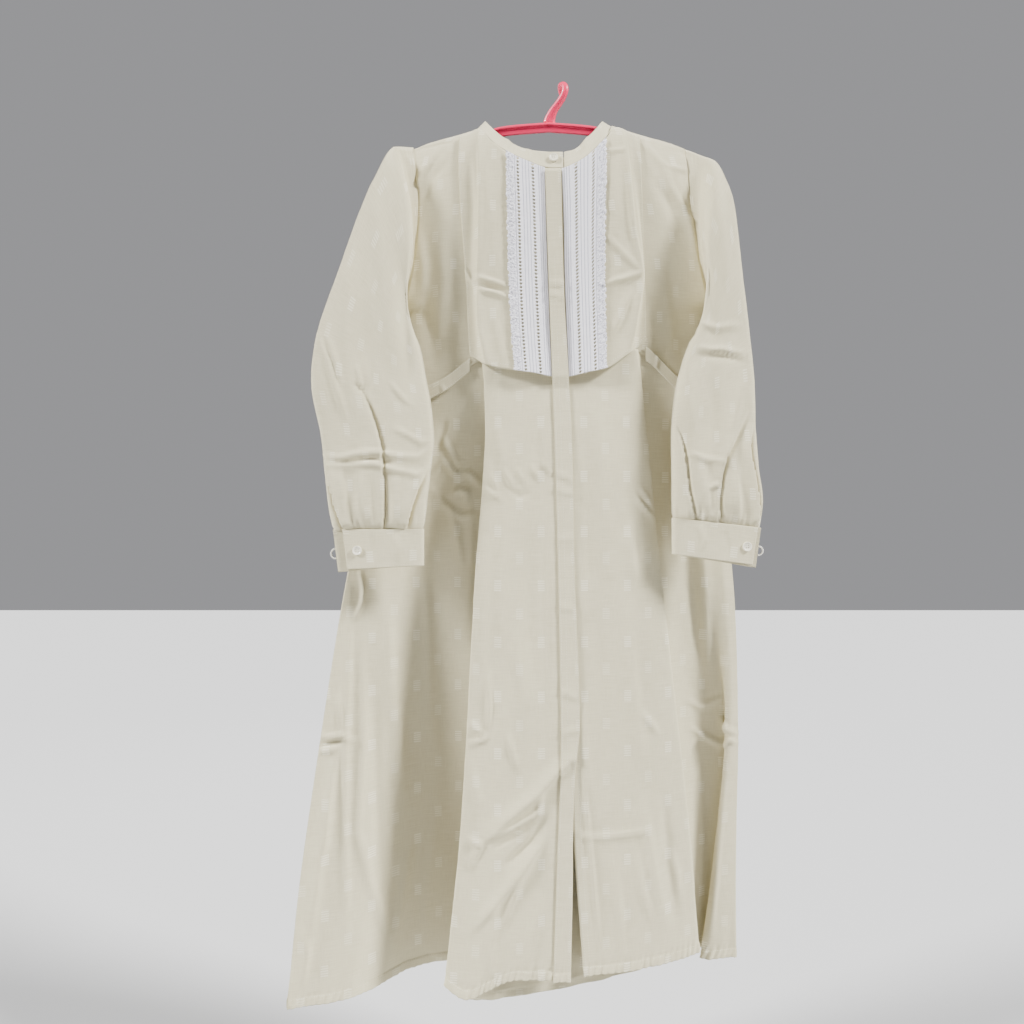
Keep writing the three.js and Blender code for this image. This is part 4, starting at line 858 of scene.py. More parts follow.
@dataclass(frozen=True)
class Cotton:
    """A slubby plain weave with small woven dashes, read from the piece's UV map."""

    name: str = "cotton_dobby"
    light: Colour = (0.67, 0.615, 0.425, 1)
    deep: Colour = (0.57, 0.515, 0.335, 1)
    thread: Colour = (0.86, 0.82, 0.66, 1)
    pitch_u: float = 0.052
    pitch_v: float = 0.066
    dash: tuple[float, float] = (0.0042, 0.0070)  # half width and half height of a stack
    dash_pitch: float = 0.0028

    def make(self) -> bpy.types.Material:
        """Builds the material."""
        g = Graph(self.name)
        place = g.node("UVMap", uv_map="cloth").outputs[0]
        warp = g.noise(place, (1300, 55, 1), 2)
        weft = g.noise(place, (45, 1100, 1), 2)
        cloud = g.noise(place, (14, 9, 1), 3)
        slub = g.math("ADD", g.math("MULTIPLY", warp, 0.4), g.math("MULTIPLY", weft, 0.6))
        tone = g.node("MapRange", {0: slub, 1: 0.38, 2: 0.62, 3: 0.0, 4: 1.0}).outputs[0]
        tone = g.math("ADD", g.math("MULTIPLY", tone, 0.75), g.math("MULTIPLY", cloud, 0.25))
        colour = g.mix(tone, self.deep, self.light)
        dashes = g.math("MAXIMUM", self.dashes(g, place, 0.0, 1.0), self.dashes(g, place, 0.5, 0.7))
        colour = g.mix(g.math("MULTIPLY", dashes, 0.6), colour, self.thread)
        g.tree.links.new(colour, g.shader.inputs["Base Color"])
        g.bump(g.math("ADD", slub, g.math("MULTIPLY", dashes, 0.5)), 0.45, 0.0005)
        g.shader.inputs["Roughness"].default_value = 0.85
        g.shader.inputs["Sheen Weight"].default_value = 0.2
        g.shader.inputs["Sheen Roughness"].default_value = 0.5
        g.shader.inputs["Specular IOR Level"].default_value = 0.25
        return g.material

    def dashes(self, g: Graph, place: bpy.types.NodeSocket, shift: float, strength: float
               ) -> bpy.types.NodeSocket:
        """Small stacks of short raised dashes on a regular lattice.

        Args:
            g: the material's graph.
            place: the UV vector in metres.
            shift: offset of the lattice in cells.
            strength: how strongly they show.

        Returns:
            1 on a dash and 0 beside it.
        """
        split = g.node("SeparateXYZ", {0: place})
        inside = []
        for axis, pitch, half in ((0, self.pitch_u, self.dash[0]), (1, self.pitch_v, self.dash[1])):
            cell = g.math("FRACT", g.math("ADD", g.math("DIVIDE", split.outputs[axis], pitch), shift + 50))
            off = g.math("MULTIPLY", g.math("ABSOLUTE", g.math("SUBTRACT", cell, 0.5)), pitch)
            inside.append(g.math("LESS_THAN", off, half))
        wave = g.math("SINE", g.math("MULTIPLY", split.outputs[1], 2 * math.pi / self.dash_pitch))
        line = g.math("GREATER_THAN", wave, -0.1)
        stack = g.math("MULTIPLY", inside[0], inside[1])
        return g.math("MULTIPLY", g.math("MULTIPLY", stack, line), strength)


@dataclass(frozen=True)
class LaceThread:
    """White embroidery thread, with painted shade: dark grey lines in the grooves between the tucks and dark
    specks between the threads of its feathery edge.
    """

    name: str = "lace_thread"
    light: Colour = (0.95, 0.935, 0.96, 1)
    deep: Colour = (0.76, 0.745, 0.80, 1)
    # painted shade: the dark grey that stands for the shade in the grooves between the tucks and between the
    # feathery threads
    line: Colour = (0.30, 0.28, 0.37, 1)
    lines: tuple[float, ...] = (3.4, 6.2, 9.2, 20.8, 24.6, 28.6, 38.6)  # mm from the inner edge
    half: float = 0.5
    feather: float = 39.5

    def make(self) -> bpy.types.Material:
        """Builds the material."""
        g = Graph(self.name)
        place = g.node("UVMap", uv_map="cloth").outputs[0]
        grain = g.noise(place, (900, 1500, 1), 2)
        colour = g.mix(grain, self.deep, self.light)
        across = g.node("SeparateXYZ", {0: place}).outputs[0]
        # the grooves between the tucks get the painted shade colour as well as a bump
        drawn: float | bpy.types.NodeSocket = 0.0
        for at in self.lines:
            drawn = g.math("ADD", drawn, g.math("COMPARE", across, at * MM, self.half * MM))
        colour = g.mix(g.math("MULTIPLY", drawn, g.math("MULTIPLY", grain, 1.3)), colour, self.line)
        # painted shade in the gaps between the threads of the feathery outer edge
        threads = g.noise(place, (420, 620, 1), 1)
        threads = g.node("MapRange", {0: threads, 1: 0.52, 2: 0.62, 3: 0.0, 4: 0.75})
        feather_shade = g.math("MULTIPLY", threads.outputs[0], g.math("GREATER_THAN", across, self.feather * MM))
        colour = g.mix(feather_shade, colour, self.line)
        g.tree.links.new(colour, g.shader.inputs["Base Color"])
        g.bump(g.math("SUBTRACT", grain, drawn), 0.6, 0.0005)
        g.shader.inputs["Roughness"].default_value = 0.8
        g.shader.inputs["Sheen Weight"].default_value = 0.3
        return g.material


@dataclass(frozen=True)
class Twisted:
    """Twisted sewing thread or cord, on object coordinates."""

    name: str
    light: Colour
    deep: Colour

    def make(self) -> bpy.types.Material:
        """Builds the material."""
        g = Graph(self.name)
        place = g.node("TexCoord").outputs["Object"]
        grain = g.noise(place, (1400, 1400, 700), 2)
        g.tree.links.new(g.mix(grain, self.deep, self.light), g.shader.inputs["Base Color"])
        g.bump(grain, 0.6, 0.0003)
        g.shader.inputs["Roughness"].default_value = 0.75
        g.shader.inputs["Sheen Weight"].default_value = 0.2
        return g.material


@dataclass(frozen=True)
class Moulded:
    """Smooth moulded plastic with a faint flow grain, on object coordinates."""

    name: str
    colour: Colour
    dark: Colour
    roughness: float = 0.35

    def make(self) -> bpy.types.Material:
        """Builds the material."""
        g = Graph(self.name)
        place = g.node("TexCoord").outputs["Object"]
        grain = g.noise(place, (60, 60, 60), 3)
        g.tree.links.new(g.mix(grain, self.dark, self.colour), g.shader.inputs["Base Color"])
        g.bump(g.noise(place, (900, 900, 900), 2), 0.15, 0.0002)
        g.shader.inputs["Roughness"].default_value = self.roughness
        g.shader.inputs["Coat Weight"].default_value = 0.15
        return g.material


FINISHES = {
    "cloth": Cotton().make,
    "lace": LaceThread().make,
    "thread": Twisted("sewing_thread", (0.84, 0.82, 0.70, 1), (0.62, 0.59, 0.46, 1)).make,
    "cord": Twisted("cotton_cord", (0.92, 0.90, 0.82, 1), (0.78, 0.75, 0.64, 1)).make,
    "button": Moulded("button_plastic", (0.90, 0.86, 0.70, 1), (0.80, 0.75, 0.58, 1), 0.3).make,
    "plastic": Moulded("hanger_plastic", (0.96, 0.030, 0.130, 1), (0.88, 0.022, 0.105, 1), 0.38).make,
}


class Wardrobe:
    def __init__(self) -> None:
        """Makes every finish once."""
        self.materials = {slot: make() for slot, make in FINISHES.items()}

    def dress(self, piece: bpy.types.Object, slot: str, *nodes: str,
              material: str = "") -> bpy.types.Object:
        """Puts a finish on a piece and rides it on the body.

        Args:
            piece: the finished piece.
            slot: the record's material slot.
            nodes: the solids that it stands for.
            material: the finish, where it isn't the slot's own.

        Returns:
            The same piece.
        """
        piece.data.materials.clear()
        piece.data.materials.append(self.materials[material or slot])
        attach(piece, "root")
        if nodes:
            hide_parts(*nodes)
        LOG.info("%s: %d faces", piece.name, len(piece.data.polygons))
        return piece

    def stitches(self, name: str, lines: Sequence[Array]) -> bpy.types.Object:
        """Sews rows of short raised stitches on a cloth.

        Args:
            name: the piece's name.
            lines: points and normals of each row, as inset returns them.

        Returns:
            The piece.
        """
        points, faces = [], []
        for line in lines:
            run = np.concatenate([[0], np.cumsum(np.linalg.norm(np.diff(line[:, :3], axis=0), axis=1))])
            starts = np.arange(0.4, run[-1] - STITCH_LENGTH, STITCH_PITCH)
            places = [starts + share * STITCH_LENGTH for share in (0, 0.5, 1)]
            a, middle, b = (np.stack([np.interp(place, run, line[:, k]) for k in range(6)], axis=1)
                            for place in places)
            n = middle[:, 3:]
            across = np.cross(n, b[:, :3] - a[:, :3])
            across *= STITCH_RADIUS / np.maximum(np.linalg.norm(across, axis=1, keepdims=True), 1e-9)
            centre = middle[:, :3] + n * (CLOTH / 2 + STITCH_RADIUS * 0.4)
            ends = [a[:, :3] + n * CLOTH * 0.4, b[:, :3] + n * CLOTH * 0.4]
            rim = [centre + across, centre + n * STITCH_RADIUS, centre - across, centre - n * STITCH_RADIUS]
            base = sum(len(part) for part in points) + 6 * np.arange(len(starts))[:, None]
            points.append(np.stack(ends + rim, axis=1).reshape(-1, 3))
            for k in range(4):
                p, q = 2 + k, 2 + (k + 1) % 4
                faces += [base + np.array([[0, q, p]]), base + np.array([[1, p, q]])]
        made = mesh_object(name, np.concatenate(points) * MM, np.concatenate(faces))
        return self.dress(made, "cloth", material="thread")

    def cloth(self, name: str, grid: Array, node: str, flat: tuple[float, float], area: float | None = None,
              on: Sequence[str] = ("hanger",), slot: str = "cloth", seams: Sequence[Array] = (), **shape
              ) -> bpy.types.Object:
        """Makes and dresses a sheet of cloth.

        Args:
            name: the piece's name.
            grid: its middle surface in mm.
            node: the solid that it stands for.
            flat: width and length it is cut to, in metres. Not used.
            area: its flat area where the cut isn't a rectangle. Not used.
            on: what it hangs from or lies on. Not used.
            slot: its finish.
            seams: rows of stitches on it, as inset returns them.
            shape: what else sheet_object takes.

        Returns:
            The piece.
        """
        piece = self.dress(sheet_object(name + "_cloth", grid, **shape), slot, node)
        sewn = [self.stitches(name + "_stitches", seams)] if seams else []
        return piece


# ------------------------------------------------------------------------------------ the body
NECK_STEPS, SHOULDER_STEPS = 5, 3


@dataclass
class Bodice:
    """The two front panels under the bib."""

    fine: int = 7  # columns for each one of the neck's and shoulder's steps
    rows: int = 90
    middle: tuple[float, float] = (-11.0, -117.6)
    neck_out: float = 0.2
    neck_down: float = -0.8

    def neck_edge(self, guides: Array, count: int) -> Array:
        """The neck edge just outside the collar's seam.

        Args:
            guides: the seam's points.
            count: the number of steps.

        Returns:
            count + 1 points.
        """
        line = spaced(through(guides, [24] * (len(guides) - 1)), count)
        line[:, 0] += self.neck_out * (line[:, 0] + 20) / 86
        line[:, 2] -= self.neck_down
        return line

    def front(self, side: Side) -> Array:
        """Lays out one front panel.

        Args:
            side: which one.

        Returns:
            Its grid, facing out.
        """
        sign, hole = side.value, ARMHOLE[side]
        seam = collar_seam()
        neck = seam[1:NECK_LEFT + 1] if side is Side.LEFT else seam[NECK_RIGHT:][::-1]
        start = np.array([[self.middle[0] + sign * SEAM_GAP, 0, self.middle[1]]])
        top = self.neck_edge(np.vstack([start, neck]), NECK_STEPS * self.fine)
        x = np.linspace(top[-1, 0], hole.top_x, SHOULDER_STEPS * self.fine + 1)[1:]
        top = np.vstack([top, np.stack([x, x * 0, shoulder_z(x)], axis=1)])
        end_x, _ = SEAM_END[side]
        x = np.linspace(SKIRT_START[side], end_x - sign * SEAM_GAP, len(top))
        bottom = np.stack([x, x * 0, underbust_z(x, side) - SEAM_LAP], axis=1)
        v = np.linspace(0, 1, self.rows + 1) ** 1.4
        inner = lerp(top[0], bottom[0], v[:, None])
        z = lerp(top[-1, 2], bottom[-1, 2], v)
        outer = np.stack([edge_at(side, z, Facing.FRONT)[0], z * 0, z], axis=1)
        grid = patch(v, top, bottom, inner, outer)
        grid[..., 1] = bodice_y(grid[..., 0], grid[..., 2], Facing.FRONT)
        grid[-4:, :, 1] -= np.array([0.1, 0.3, 0.6, 0.8])[:, None]
        grid[0, NECK_STEPS * self.fine:, 1] = -FOLD_HALF
        return facing_out(grid, -1)

    def build(self, wardrobe: Wardrobe) -> None:
        """Builds both panels.

        Args:
            wardrobe: gives them their finish.
        """
        for side in Side:
            grid = creased(self.front(side), CREASES["bodice", side], seed=7)
            grain = int(np.argmin(np.abs(grid[0, :, 0] - CENTRE_X)))
            name = f"bodice_front_{side.key}"
            wardrobe.cloth(name, grid, name, (0.23, 0.37), 0.055, grain=grain)


SKIRT_START = {Side.LEFT: -3.0, Side.RIGHT: -2.2}
SKIRT_LEFT = Table(
    "t edgeX edgeY foldX panelY innerX underY deepY returnY recessX recessY wingX wingY seamX seamY", [
        (0, -3, -40, -98, -38.5, -84, -35, -35, -31.5, -135, -27.5, -185, -20.5, -236, -20),
        (0.05, -2, -42, -95, -38.5, -77, -35, -34, -29, -140, -23, -189, -20, -241, -21),
        (0.15, 1, -48, -94, -42, -62, -35, -32, -25, -150, -12, -200, -20, -250, -25),
        (0.35, 4, -55, -105, -51, -15, -41, -32, -23, -160, 0, -220, -22, -273, -36),
        (0.6, 8, -62, -115, -62, 45, -50, -34, -22, -165, 10, -235, -30, -297.5, -50),
        (0.8, 11.5, -62, -125, -68, 93, -54, -30, -19, -168, 16, -246, -37, -315, -61),
        (1, 9, -60, -141, -74, 141, -58, -23, -13, -171, 20, -255, -44, -327, -70)])
SKIRT_RIGHT = Table(
    "t edgeX edgeY foldX foldY undercut backY recessX recessY innerX flapX flapY seamX seamY", [
        (0, -2.2, -40, 94, -34, 3, -30.5, 135, -23, 155, 172, -17, 203, -12),
        (0.05, -1.2, -42, 98, -34.5, 5, -30, 138, -19.5, 159, 176, -15.5, 205, -10.5),
        (0.15, 1.8, -48, 105, -39, 9, -32, 145, -14, 168, 184, -13, 209, -8),
        (0.35, 4.8, -55, 120, -41, 12, -29, 158, -2, 187, 203, -8, 221, -4),
        (0.6, 8.8, -62, 142, -36, 14, -24, 174, 9, 215, 209, -5, 226, 0),
        (0.8, 13.5, -61, 159.5, -29, 14, -17, 184, 12, 212, 197, -5, 223.5, 0),
        (1, 25, -58, 172.5, -22, 12, -9, 188, 13, 208, 177.5, -5, 223.6, 0)])
# The back's depth, and how late it turns to its two edges.
BACK_FORM = Table("t y turnL turnR", [(0, 36, 2.8, 2.8), (0.5, 46, 3.2, 8.5), (1, 54, 3.6, 9)])


@dataclass
class Skirt:
    """The front skirt's two halves with their folds, and the whole back."""

    fine: int = 9  # columns for each of the coarse steps
    rows: int = 185
    hem_rows: int = 12
    hem_share: float = 0.0175  # share of the length that the hem's own rows take
    hem_left: tuple[float, ...] = (-1098, -1094, -1112, -1099, -1121, -1119, -1101, -1098, -1102, -1122,
                                   -1127, -1125)
    hem_right: tuple[float, ...] = (-1094, -1092, -1088, -1087, -1089, -1098, -1104, -1105, -1105, -1103,
                                    -1103, -1102)
    steps_left: tuple[int, ...] = (3, 3, 1, 1, 2, 2, 1, 1, 4, 3, 3)
    steps_right: tuple[int, ...] = (3, 3, 1, 1, 2, 1, 1, 1, 1, 1, 2)
    panel_ends: tuple[int, int] = (7, 7)  # steps from the middle to the panel's fold
    wing_starts: tuple[int, int] = (13, 9)  # steps from the middle to the recess beside it
    back_hem: tuple[float, ...] = (-1125, -1119, -1113, -1116, -1109, -1112, -1105, -1102)

    def guides(self, side: Side, t: float) -> Array:
        """The places that one section of a half runs through.

        Args:
            side: which half.
            t: 0 at the underbust seam and 1 at the hem.

        Returns:
            x, y and the hem's height of each place.
        """
        r = {k: float(v) for k, v in (SKIRT_LEFT if side is Side.LEFT else SKIRT_RIGHT).at(t).items()}
        belly = min(1.0, 5 * t)
        if side is Side.LEFT:
            inset = min(24.0, 0.35 * (r["innerX"] - r["foldX"]))
            places = [
                (r["edgeX"], r["edgeY"]),
                ((r["edgeX"] + r["foldX"]) / 2, (r["edgeY"] + r["panelY"]) / 2 - 2 * belly),
                (r["foldX"] + inset, r["panelY"]),
                (r["foldX"], (r["panelY"] + r["underY"]) / 2),
                (r["foldX"] + inset, r["underY"]),
                ((r["foldX"] + r["innerX"]) / 2, (r["underY"] + r["deepY"]) / 2),
                (r["innerX"] - inset, r["deepY"]),
                (r["innerX"], (r["deepY"] + r["returnY"]) / 2),
                (r["innerX"] - inset, r["returnY"]),
                (r["recessX"], r["recessY"]),
                (r["wingX"], r["wingY"]),
                (r["seamX"] + SEAM_GAP / 2, r["seamY"] - PLY / 2)]
            hem = self.hem_left
        else:
            deep, flap = r["recessY"], r["flapY"]
            places = [
                (r["edgeX"], r["edgeY"]),
                ((r["edgeX"] + r["foldX"]) / 2, (r["edgeY"] + r["foldY"]) / 2 - 4 * belly),
                (r["foldX"] - r["undercut"], r["foldY"] - 1),
                (r["foldX"], (r["foldY"] + r["backY"]) / 2),
                (r["foldX"] - r["undercut"], r["backY"]),
                (r["recessX"], deep),
                (r["innerX"] - 6, lerp(deep, flap, 0.02)),
                (r["innerX"], lerp(deep, flap, 0.2)),
                ((r["innerX"] + r["flapX"]) / 2, lerp(deep, flap, 0.5)),
                (r["flapX"], lerp(deep, flap, 0.8)),
                (r["flapX"] + 6, flap),
                (r["seamX"] - SEAM_GAP / 2, r["seamY"] - PLY / 2)]
            hem = self.hem_right
        return np.array([(x, y, z) for (x, y), z in zip(places, hem)])

    def places(self) -> Array:
        """The rows' places from the underbust seam, 0, to the hem, 1."""
        return np.concatenate([np.linspace(0, 1 - self.hem_share, self.rows + 1)[:-1],
                               np.linspace(1 - self.hem_share, 1, self.hem_rows + 1)])

    def front(self, side: Side) -> Array:
        """Lays out one half of the front.

        Args:
            side: which half.

        Returns:
            Its grid with its creases and hem, facing out.
        """
        steps = [n * self.fine for n in (self.steps_left if side is Side.LEFT else self.steps_right)]
        t = self.places()
        rows = np.stack([through(self.guides(side, value), steps) for value in t])
        start = underbust_z(rows[0, :, 0], side) + SEAM_LAP
        rows[..., 2] = lerp(start[None], rows[..., 2], t[:, None])
        rows[..., 1] += 1.0 * np.exp(-t / 0.012)[:, None]
        number = np.arange(rows.shape[1]) / self.fine
        end, wing = (ends[side is Side.RIGHT] for ends in (self.panel_ends, self.wing_starts))
        on_panel, on_wing = (np.clip(part, 0, 1)[None] for part in (end + 0.3 - number, number - wing + 1))
        if side is Side.RIGHT:
            rows, on_panel, on_wing = rows[:, ::-1], on_panel[:, ::-1], on_wing[:, ::-1]
        rows = creased(rows, CREASES["panel", side], on_panel, rumple=0.4, seed=11)
        rows = creased(rows, CREASES["wing", side], on_wing * towards(rows, Facing.FRONT), rumple=0)
        return hemmed(rows)

    def back(self, bodice: Bodice) -> Array:
        """Lays out the back in one length.

        Args:
            bodice: the body above the skirt, for its neck edge.

        Returns:
            The grid of the whole back.
        """
        fine = bodice.fine
        seam = collar_seam()[NECK_LEFT:NECK_RIGHT + 1]
        neck = bodice.neck_edge(seam, NECK_STEPS * 2 * fine)
        x = [np.linspace(end, ARMHOLE[side].top_x, SHOULDER_STEPS * fine + 1)[1:]
             for side, end in ((Side.LEFT, neck[0, 0]), (Side.RIGHT, neck[-1, 0]))]
        arms = [np.stack([a, a * 0, shoulder_z(a)], axis=1) for a in x]
        top = np.vstack([arms[0][::-1], neck, arms[1]])
        share = np.linspace(0, 1, len(top))
        ends = [SEAM_END[side] for side in Side]
        waist = np.stack([lerp(ends[0][0] + SEAM_GAP, ends[1][0] - SEAM_GAP, share), share * 0,
                          lerp(ends[0][1], ends[1][1], share)], axis=1)
        v = np.linspace(0, 1, bodice.rows + 1) ** 1.3
        edges = []
        for side, end in ((Side.LEFT, 0), (Side.RIGHT, -1)):
            z = lerp(top[end, 2], waist[end, 2], v)
            edges.append(np.stack([edge_at(side, z, Facing.BACK)[0], z * 0, z], axis=1))
        grid = patch(v, top, waist, edges[0], edges[1])
        grid[..., 1] = bodice_y(grid[..., 0], grid[..., 2], Facing.BACK)
        arm = SHOULDER_STEPS * fine
        grid[0, :arm + 1, 1] = grid[0, -arm - 1:, 1] = FOLD_HALF
        t = self.places()[1:, None]
        left, right = SKIRT_LEFT.at(t[:, 0]), SKIRT_RIGHT.at(t[:, 0])
        form = BACK_FORM.at(t[:, 0])
        u = share[None]
        out = np.abs(2 * u - 1)
        y = form["y"][:, None]
        turn = np.where(u < 0.5, (left["seamY"][:, None] - y) * out ** form["turnL"][:, None],
                        (right["seamY"][:, None] - y) * out ** form["turnR"][:, None])
        flute = 6 * t * (1 - out**2) * np.cos(2 * np.pi * 3.5 * u)
        hem = through(np.array([(i, 0, z) for i, z in enumerate(self.back_hem)]), [30] * 7)
        hem_z = np.interp(share * 7, hem[:, 0], hem[:, 2])[None]
        edge = PLY / 2 * ((u == 0) | (u == 1))
        skirt = np.stack(np.broadcast_arrays(
            lerp(left["seamX"][:, None] + SEAM_GAP / 2, right["seamX"][:, None] - SEAM_GAP / 2, u),
            y + turn + flute + edge, lerp(waist[:, 2][None], hem_z, t)), axis=2)
        return facing_out(np.concatenate([grid, skirt]), 1)

    def build(self, wardrobe: Wardrobe, bodice: Bodice) -> Array:
        """Builds the back and both halves of the front.

        Args:
            wardrobe: gives the pieces their finish.
            bodice: the panels that the back starts with.

        Returns:
            The left half's grid, on which the placket lies.
        """
        grid = hemmed(creased(self.back(bodice), CREASES["back", Side.LEFT], rumple=0.4, seed=17))
        wardrobe.cloth("back", grid, "back", (0.60, 1.08), 0.52, seams=[inset(grid, "last", 10)],
                       grain=grid.shape[1] // 2)
        grids = {}
        for side, flat, area in ((Side.LEFT, (0.95, 0.78), 0.44), (Side.RIGHT, (0.30, 0.76), 0.19)):
            grid = self.front(side)
            grids[side] = grid
            seams = [inset(grid, "last", 10)]
            if side is Side.RIGHT:
                seams += [inset(grid, "end", distance, (0.62, 1)) for distance in (3, 9)]
            name = f"skirt_front_{side.key}"
            wardrobe.cloth(name, grid, name, flat, area, seams=seams, grain=ALL_STRAIGHT)
        return grids[Side.LEFT]


# ------------------------------------------------------------------------------------ bib and trim
BIB = {
    Side.LEFT: Table("z innerX laceInX laceMidX laceOutX foldX outerX", [
        (-118, -14, -21, -45, -68, -103, -127), (-175, -13, -19.5, -43, -67, -103, -123.5),
        (-258, -11, -17, -41, -65, -102, -117.5), (-330, -8, -14.5, -38, -61, -96, -114),
        (-374, -6, -12.8, -35, -57.5, -90, -110)]),
    Side.RIGHT: Table("z innerX laceInX laceMidX laceOutX foldX outerX", [
        (-118, -8, -1, 27, 54, 82, 98), (-175, -6, 1.5, 27, 52.5, 91, 99.5),
        (-250, -3, 3, 28, 52, 98.5, 102.5), (-330, 0, 6, 30, 53, 83, 104.5),
        (-374, 2, 7.7, 31, 53.5, 74, 103.5)]),
}
BIB_END = {Side.LEFT: (-374, -374, -370, -367, -364, -359, -352, -346),
           Side.RIGHT: (-374, -374, -369, -364, -357, -346, -336, -327)}
BIB_LINES = (("innerX", 1.8, 5.5), ("laceInX", 1.8, 6.5), ("laceMidX", 2.8, 12), ("laceOutX", 3.4, 13),
             ("sideX", 5, 12), ("foldX", 6, 11.5), ("stripX", 3.6, 4), ("outerX", 3.2, 3.2))
PLACKET = Table("z leftX rightX", [
    (-121, -21, -1.6), (-264, -16.3, 1.8), (-340, -13.6, 5.6), (-377, -12.2, 7.7), (-452, -9.5, 11.5),
    (-603, -5.9, 13.8), (-792, -2.8, 19.5), (-850, -3.5, 14), (-945, -7, 11.2), (-1097, -12, 8.6)])


@dataclass
class Bib:
    """The bib's two halves, the lace on them, and the placket down the middle."""

    fine: int = 10
    rows: int = 110

    def grid(self, side: Side, fine: int, rows: int) -> Array:
        """A bib half's points, from its inner edge to its outer edge.

        Args:
            side: which half.
            fine: columns between two of its lines.
            rows: rows from the collar to the free end.

        Returns:
            The grid, not yet turned outwards.
        """
        seam_points = collar_seam()
        table = BIB[side]
        row = np.arange(len(COLLAR))
        half = seam_points[row <= NECK_LEFT] if side is Side.LEFT else seam_points[row >= NECK_RIGHT]
        seam = spaced(through(half, [24] * (len(half) - 1)), 200)
        top = self.lines(side, np.array([table.data[-1, 0]]))[0]
        starts = []
        for x in top:
            limit = seam_points[NECK_LEFT if side is Side.LEFT else NECK_RIGHT, 0]
            beyond = x < limit if side is Side.LEFT else x > limit
            near = seam[np.argmin(np.abs(seam[:, 0] - x))]
            starts.append(float(shoulder_z(x)) - 9 if beyond else near[2] - 2.4)
        v = np.linspace(0, 1, rows + 1)
        made = []
        for value in v:
            z = lerp(np.array(starts), np.array(BIB_END[side], float), value)
            x = np.array([self.lines(side, np.array([min(h, -118.0)]))[0][k] for k, h in enumerate(z)])
            lift = np.array([lerp(a, b, value**1.4) for _, a, b in BIB_LINES])
            y = bodice_y(x, z, Facing.FRONT) - lift
            made.append(through(np.stack([x, y, z], axis=1), [fine] * (len(BIB_LINES) - 1)))
        return np.stack(made)

    def lines(self, side: Side, z: Array) -> Array:
        """Finds the bib's lines at some heights.

        Args:
            side: which half.
            z: the heights.

        Returns:
            The x of each line, one row for each height.
        """
        row = BIB[side].at(z)
        row["sideX"] = (row["laceOutX"] + row["foldX"]) / 2
        row["stripX"] = (row["foldX"] + row["outerX"]) / 2
        return np.stack([row[name] for name, _, _ in BIB_LINES], axis=1)

    def placket(self, skirt: Array) -> Array:
        """The strip over the bib's inner edges, and below them on the left half of the skirt.

        Args:
            skirt: the left half's grid.

        Returns:
            The strip's grid.
        """
        across = np.linspace(0, 1, 17)
        rows = []
        for k in np.linspace(0, 1, 61):
            r = PLACKET.at(lerp(-121, -376, k))
            x = lerp(r["leftX"], r["rightX"], across)
            rows.append(np.stack([x, x * 0 + lerp(-45.4, -49.4, k**2), x * 0 + r["z"]], axis=1))
        for row in skirt[::1]:
            z = row[0, 2]
            if z > -384:
                continue
            r = PLACKET.at(z)
            x = lerp(r["leftX"], r["rightX"], across)
            front = row[:40]
            order = np.argsort(front[:, 0])
            y = np.interp(x, front[order, 0], front[order, 1])
            rows.append(np.stack([x, y - 1.8, x * 0 + z], axis=1))
        return np.stack(rows)

    def build(self, wardrobe: Wardrobe, skirt: Array) -> None:
        """Builds the bib, its lace and the placket.

        Args:
            wardrobe: gives the pieces their finish.
            skirt: the left half of the skirt.
        """
        for side in Side:
            key = side.key
            grid = facing_out(self.grid(side, self.fine, self.rows), -1)
            grid = creased(grid, CREASES["bib", side], seed=23)
            outer = "end" if side is Side.RIGHT else "start"
            if grid[5, 0, 0] > grid[5, -1, 0]:
                outer = "start" if outer == "end" else "end"
            seams = [inset(grid, outer, distance) for distance in ((2, 9) if side is Side.RIGHT else (2,))]
            wardrobe.cloth(f"bib_{key}", grid, f"bib_{key}", (0.12, 0.31), 0.032, [f"bodice_front_{key}"],
                           seams=[*seams, inset(grid, "last", 6)], grain=-1 if outer == "start" else 0)
            Lace(side).build(wardrobe, self)
        strip = facing_out(self.placket(skirt), -1)
        strip = creased(strip, CREASES["placket", Side.LEFT], rumple=0.2, seed=29)
        seams = [inset(strip, "start", 2), inset(strip, "end", 2), inset(strip, "end", 8, (0.1, 0.72))]
        wardrobe.cloth("placket", strip, "placket", (0.024, 1.0), None, ["skirt_front_l"],
                       seams=seams, grain=0)
        self.bands(wardrobe)

    def bands(self, wardrobe: Wardrobe) -> None:
        """Builds the two bands under the bust.

        Args:
            wardrobe: gives them their finish.
        """
        for side, start, lift in ((Side.LEFT, 103, 2.1), (Side.RIGHT, 112, 3.4)):
            name = f"band_{side.key}"
            x = np.linspace(CENTRE_X + side.value * start, SEAM_END[side][0] - side.value * 6, 61)
            z = underbust_z(x, side)
            y = bodice_y(x, z, Facing.FRONT) - lift
            h = np.linspace(1, -1, 13)[:, None]
            grid = np.stack(np.broadcast_arrays(x[None], y[None], z[None] + 8.8 * h), axis=2)
            grid = creased(facing_out(grid, -1), CREASES["band", side], rumple=0.2, seed=31)
            seams = [inset(grid, "first", 2), inset(grid, "last", 2)]
            wardrobe.cloth(name, grid, name, (0.018, 0.13), None, [f"bodice_front_{side.key}"], seams=seams)


HOLE_REACH = 0.033


